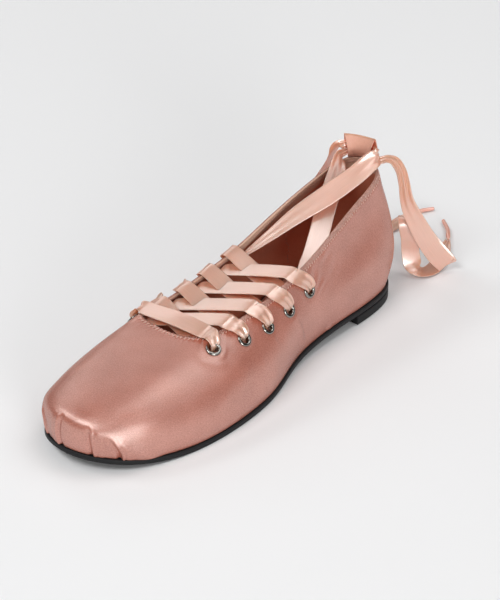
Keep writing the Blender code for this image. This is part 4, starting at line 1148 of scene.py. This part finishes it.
def stitchUpper():
    # the depths and places wander as a sine of the way along
    total = cloth["along"][-1]
    # a running stitch all round the collar
    at = np.arange(0, total, seam["pitch"])
    at = at[frontAt(at) < 0.5]
    size, rate = seam["collarWander"]
    depth = seam["collarDepth"] + size * np.sin(at * rate)
    start, end = (
        clothAt(at + shift * seam["length"], depth + shift * seam["slant"]) for shift in (-0.5, 0.5)
    )
    makeStitches("collar_stitches", start, end, seam["thread"])
    # slanted whip stitches over the throat's edge
    at = np.arange(0, total, seam["throatPitch"])
    at = at[frontAt(at) > 0.5]
    size, rate = seam["throatWander"]
    start, end = (
        clothAt(at + shift * seam["throatSlant"] + size * np.sin(at * rate), np.full(len(at), depth))
        for shift, depth in zip((-0.5, 0.5), seam["throatDepth"])
    )
    makeStitches("throat_stitches", start, end, seam["thread"] * seam["throatThread"])
    # slanted stitches that hold the tape inside the edge
    at = np.arange(0, roundLength - 1, seam["tapePitch"])
    start, end = (
        innerAt(at + shift * seam["tapeSlant"], np.full(len(at), depth))
        for shift, depth in zip((-1, 1), seam["tapeDepth"])
    )
    makeStitches("tape_stitches", start, end, seam["thread"])
    # a line of stitches down the lining's seam
    down = np.arange(*seam["liningDown"], seam["pitch"])
    at = np.interp(down, *np.array(seam["liningLine"]).T)
    start, end = (innerAt(at, down + shift * seam["liningLength"]) for shift in (-0.5, 0.5))
    makeStitches("lining_stitches", start, end, seam["thread"])


stitchUpper()
print("stitches made")

# eyelets

# the spool's lip, how high it stands, and the rest of its section from the lip's inner foot, down the
# barrel, out along the washer and back: each as distance past the bore or the rim, and height
spool = {
    "lipFoot": 0.1, "lipHeight": 0.85, "lipRows": 13,
    "barrel": ((0.0, -0.6), (0.0, -1.9), (0.2, -2.5)),
    "washer": ((-0.5, -2.55), (-0.35, -2.3), (-0.6, -2.1)),
    "back": ((0.5, -2.0), (0.4, -0.3), (0.5, 0.02)),
    "rimFoot": (-0.2, 0.02),
}


def makeEyelets():
    # a spool turned about the hole's axis: a rolled lip outside, the barrel, and a flat washer inside
    bore, rim = eyeletSize["bore"], eyeletSize["rim"]
    roll = np.linspace(0, math.pi, spool["lipRows"])
    lip = np.column_stack([
        (rim + bore) / 2 + (rim - bore) / 2 * np.cos(roll),
        spool["lipFoot"] + spool["lipHeight"] * np.sin(roll) ** 0.8,
    ])
    profile = np.vstack([
        lip, np.array(spool["barrel"]) + (bore, 0), np.array(spool["washer"]) + (rim, 0),
        np.array(spool["back"]) + (bore, 0), np.array([spool["rimFoot"]]) + (rim, 0),
    ])
    angle = np.linspace(0, turn, eyeletSize["sides"], endpoint=False)[:, None]
    quads, _, _ = gridQuads(len(angle), len(profile), True, True)
    for (side, number), (place, normal, up) in eyelets.items():
        ring = np.cos(angle) * np.cross(up, normal) + np.sin(angle) * up
        grid = place + ring[:, None] * profile[None, :, :1] + normal * profile[None, :, 1:]
        name = f"{side}_{number}"
        newPiece(f"ring_{name}", grid.reshape(-1, 3), [quads], [nickel], [f"eyelet_{name}"])


makeEyelets()
print("eyelets made")

# outsole, heel and insole

# the rounded edge, the shares at which top and bottom are filled in, the sock's margin, heights and dish, and
# the heel's hollow front
soleEdge = {
    "around": 480, "round": 0.7, "rounds": 5, "fillShares": (0.9, 0.7, 0.45, 0.2), "sockMargin": -0.7,
    "sockLow": 0.3, "sockHigh": 1.8, "sockDish": 0.35, "breastHollow": 2.0, "breastPoints": 60,
}


def outlineAt(u, margin):
    # the foot line moved outward by a margin
    foot, out = footLine(u)
    return foot + out * margin


def roundedSlab(name, outline, low, high, material, replaced, dish=0.0):
    # A closed slab: a rounded edge carried round the outline, and top and bottom filled in towards the
    # line half way between each point and its partner on the other side.
    count = len(outline)
    partner = (-np.arange(count)) % count
    middle = (outline + outline[partner]) / 2
    run = unit(np.roll(outline, -1, axis=0) - np.roll(outline, 1, axis=0))
    out = np.column_stack([-run[:, 1], run[:, 0]])
    if np.sum((outline - middle) * out) < 0:
        out = -out
    radius = soleEdge["round"]
    angle = np.linspace(0, math.pi / 2, soleEdge["rounds"])
    inset, drop = radius * (np.sin(angle) - 1), radius * (1 - np.cos(angle))
    flats = [(share, middle + (outline - out * radius - middle) * share) for share in soleEdge["fillShares"]]
    rows = [np.column_stack([plan, high(plan[:, 0]) - dish * (1 - share**2)]) for share, plan in flats[::-1]]
    for level, steps in ((high, zip(inset, -drop)), (low, zip(inset[::-1], drop[::-1]))):
        for back, lift in steps:
            plan = outline + out * back
            rows.append(np.column_stack([plan, level(plan[:, 0]) + lift]))
    rows += [np.column_stack([plan, low(plan[:, 0])]) for _, plan in flats]
    grid = np.stack(rows, axis=1)
    columns = grid.shape[1]
    quads, cornerRow, cornerColumn = gridQuads(count, columns, True, False)
    points = grid.reshape(-1, 3)
    # the slit left in the top and in the bottom, closed by quads between partners and a triangle at each end
    faces, uv = [quads], [np.stack([cornerRow * 0.01, cornerColumn * 0.02], axis=-1)]
    half = count // 2
    a = np.arange(1, half - 1)
    strip = np.stack([a, a + 1, count - a - 1, count - a], axis=1)
    tips = np.array([[0, 1, count - 1], [half - 1, half, half + 1]])
    for column in (0, columns - 1):
        for corners in (strip * columns + column, tips * columns + column):
            faces.append(corners if column else corners[:, ::-1])
            uv.append(points[faces[-1]][..., :2] / 100)
    newPiece(name, points, faces, [material], replaced, uv)


def heelOutline():
    # the sole's outline behind the breast, joined by a slightly hollow breast line, starting at the back
    u = np.linspace(-sampling["backReach"], sampling["backReach"], sampling["heelBack"])
    back = outlineAt(u, shoe["soleMargin"])
    back = back[back[:, 0] < shoe["heelBreastX"] - shoe["gap"]]
    share = np.linspace(0, 1, soleEdge["breastPoints"] + 2)[1:-1, None]
    breast = back[-1] + (back[0] - back[-1]) * share
    breast -= np.array([soleEdge["breastHollow"], 0]) * np.sin(math.pi * share)
    ring = np.concatenate([back, breast])
    ring = np.roll(ring, -int(np.argmin(ring[:, 0])), axis=0)
    return ring[:-1] if len(ring) % 2 else ring


def aboveSole(lift):
    # the height of the outsole's upper face at x, raised by the lift
    return lambda x: soleTop(x) + lift


def makeSoles():
    # the outsole and the sock from the foot line, and the heel block from the floor up
    u = np.linspace(0, roundLength, soleEdge["around"], endpoint=False)
    sole = outlineAt(u, shoe["soleMargin"])
    under = aboveSole(-shoe["soleThickness"])
    roundedSlab("outsole_edge", sole, under, soleTop, rubber, ["outsole"])
    sock = outlineAt(u, soleEdge["sockMargin"] - shoe["wall"])
    low, high = aboveSole(soleEdge["sockLow"]), aboveSole(soleEdge["sockHigh"])
    dish = soleEdge["sockDish"]
    roundedSlab("insole_sock", sock, low, high, insoleCloth, ["insole"], dish)
    heelTop = shoe["heelLift"] - shoe["gap"]
    roundedSlab(
        "heel_block", heelOutline(), np.zeros_like, lambda x: np.full_like(x, heelTop),
        rubber, ["heel"],
    )


makeSoles()
print("soles made")

# pull loop

loopShape = {
    "baseWidth": 17.0, "topWidth": 22.0, "thickness": 0.5, "centreY": -3.6, "height": 13.0, "inward": 0.9,
    "fold": 0.45, "cornerLift": 2.8, "across": 33, "bendRows": 7, "spanSamples": 5,
    # the outer half's line, as how far in from the loop's middle and how high above the rim
    "outerHalf": ((-1.0, 0.55), (-2.08, 3.0), (-2.47, 6.4)),
}


def rimAt(distance):
    # the collar's outer rim at this distance along it from the loop's middle, and the way inward
    rim = toplineOf(np.linspace(-sampling["backReach"], sampling["backReach"], sampling["rimBack"]))
    along = runLength(rim[:, :2])
    along -= np.interp(loopShape["centreY"], rim[:, 1], along)
    place = np.stack([np.interp(distance, along, rim[:, k]) for k in range(3)], axis=-1)
    run = np.gradient(rim[:, :2], axis=0)
    run = unit(np.stack([np.interp(distance, along, run[:, k]) for k in range(2)], axis=-1))
    return place, np.stack([run[..., 1], -run[..., 0], np.zeros(distance.shape)], axis=-1)


def makePullLoop():
    # a folded tape: a line up from the rim, over in a half circle and down again, thickened to both sides,
    # and carried along the rim, wider and more raised at its corners towards the top
    shape = loopShape
    half, fold, top = np.array(shape["outerHalf"]), shape["fold"], shape["height"] - shape["fold"]
    bend = np.linspace(0, math.pi, shape["bendRows"])
    crown = np.column_stack([-fold * np.cos(bend), top + fold * np.sin(bend)])
    line = smoothRoute(np.vstack([half, crown, half[::-1] * (-1, 1)]), shape["spanSamples"])
    line[:, 0] += shape["inward"]
    run = unit(np.gradient(line, axis=0))
    side = np.column_stack([-run[:, 1], run[:, 0]]) * shape["thickness"] / 2
    share = bunched(shape["across"])
    grids = []
    for profile in (line + side, line - side):
        upShare = profile[:, 1:] / shape["height"]
        width = shape["baseWidth"] + (shape["topWidth"] - shape["baseWidth"]) * upShare
        rim, inward = rimAt(share * width / 2)
        lift = profile[:, 1:] + shape["cornerLift"] * upShare * share**2
        grids.append(rim + inward * profile[:, :1, None] + np.array([0, 0, 1.0]) * lift[:, :, None])
    ring = np.concatenate([grids[0], grids[1][:, ::-1]], axis=1)
    rows, columns = ring.shape[:2]
    quads, cornerRow, cornerColumn = gridQuads(rows, columns, False, True)
    acrossAt = np.concatenate([share, share[::-1], share[:1]]) * shape["topWidth"] / 200
    faces, uv = [quads], [np.stack([runLength(line)[cornerRow] / 100, acrossAt[cornerColumn]], axis=-1)]
    # the tape's two cut ends
    j = np.arange(shape["across"] - 1)
    for base in (0, (rows - 1) * columns):
        strip = np.stack([base + j, base + j + 1, base + columns - j - 2, base + columns - j - 1], axis=1)
        faces.append(strip[:, ::-1] if base else strip)
        uv.append(np.zeros((*strip.shape, 2)))
    # faces inside the fold take the painted glow: a bright orange standing in for light through the tape
    inside = (cornerColumn[:, 0] >= shape["across"]) & (cornerColumn[:, 0] < columns - 1)
    material = np.concatenate([inside.astype(int), np.zeros(2 * len(j), int)])
    materials = [loopTape, loopInsidePaintedGlow]
    newPiece(
        "heel_loop", ring.reshape(-1, 3), faces, materials, ["pull_loop"], uv, material
    )


makePullLoop()
print("pull loop made")
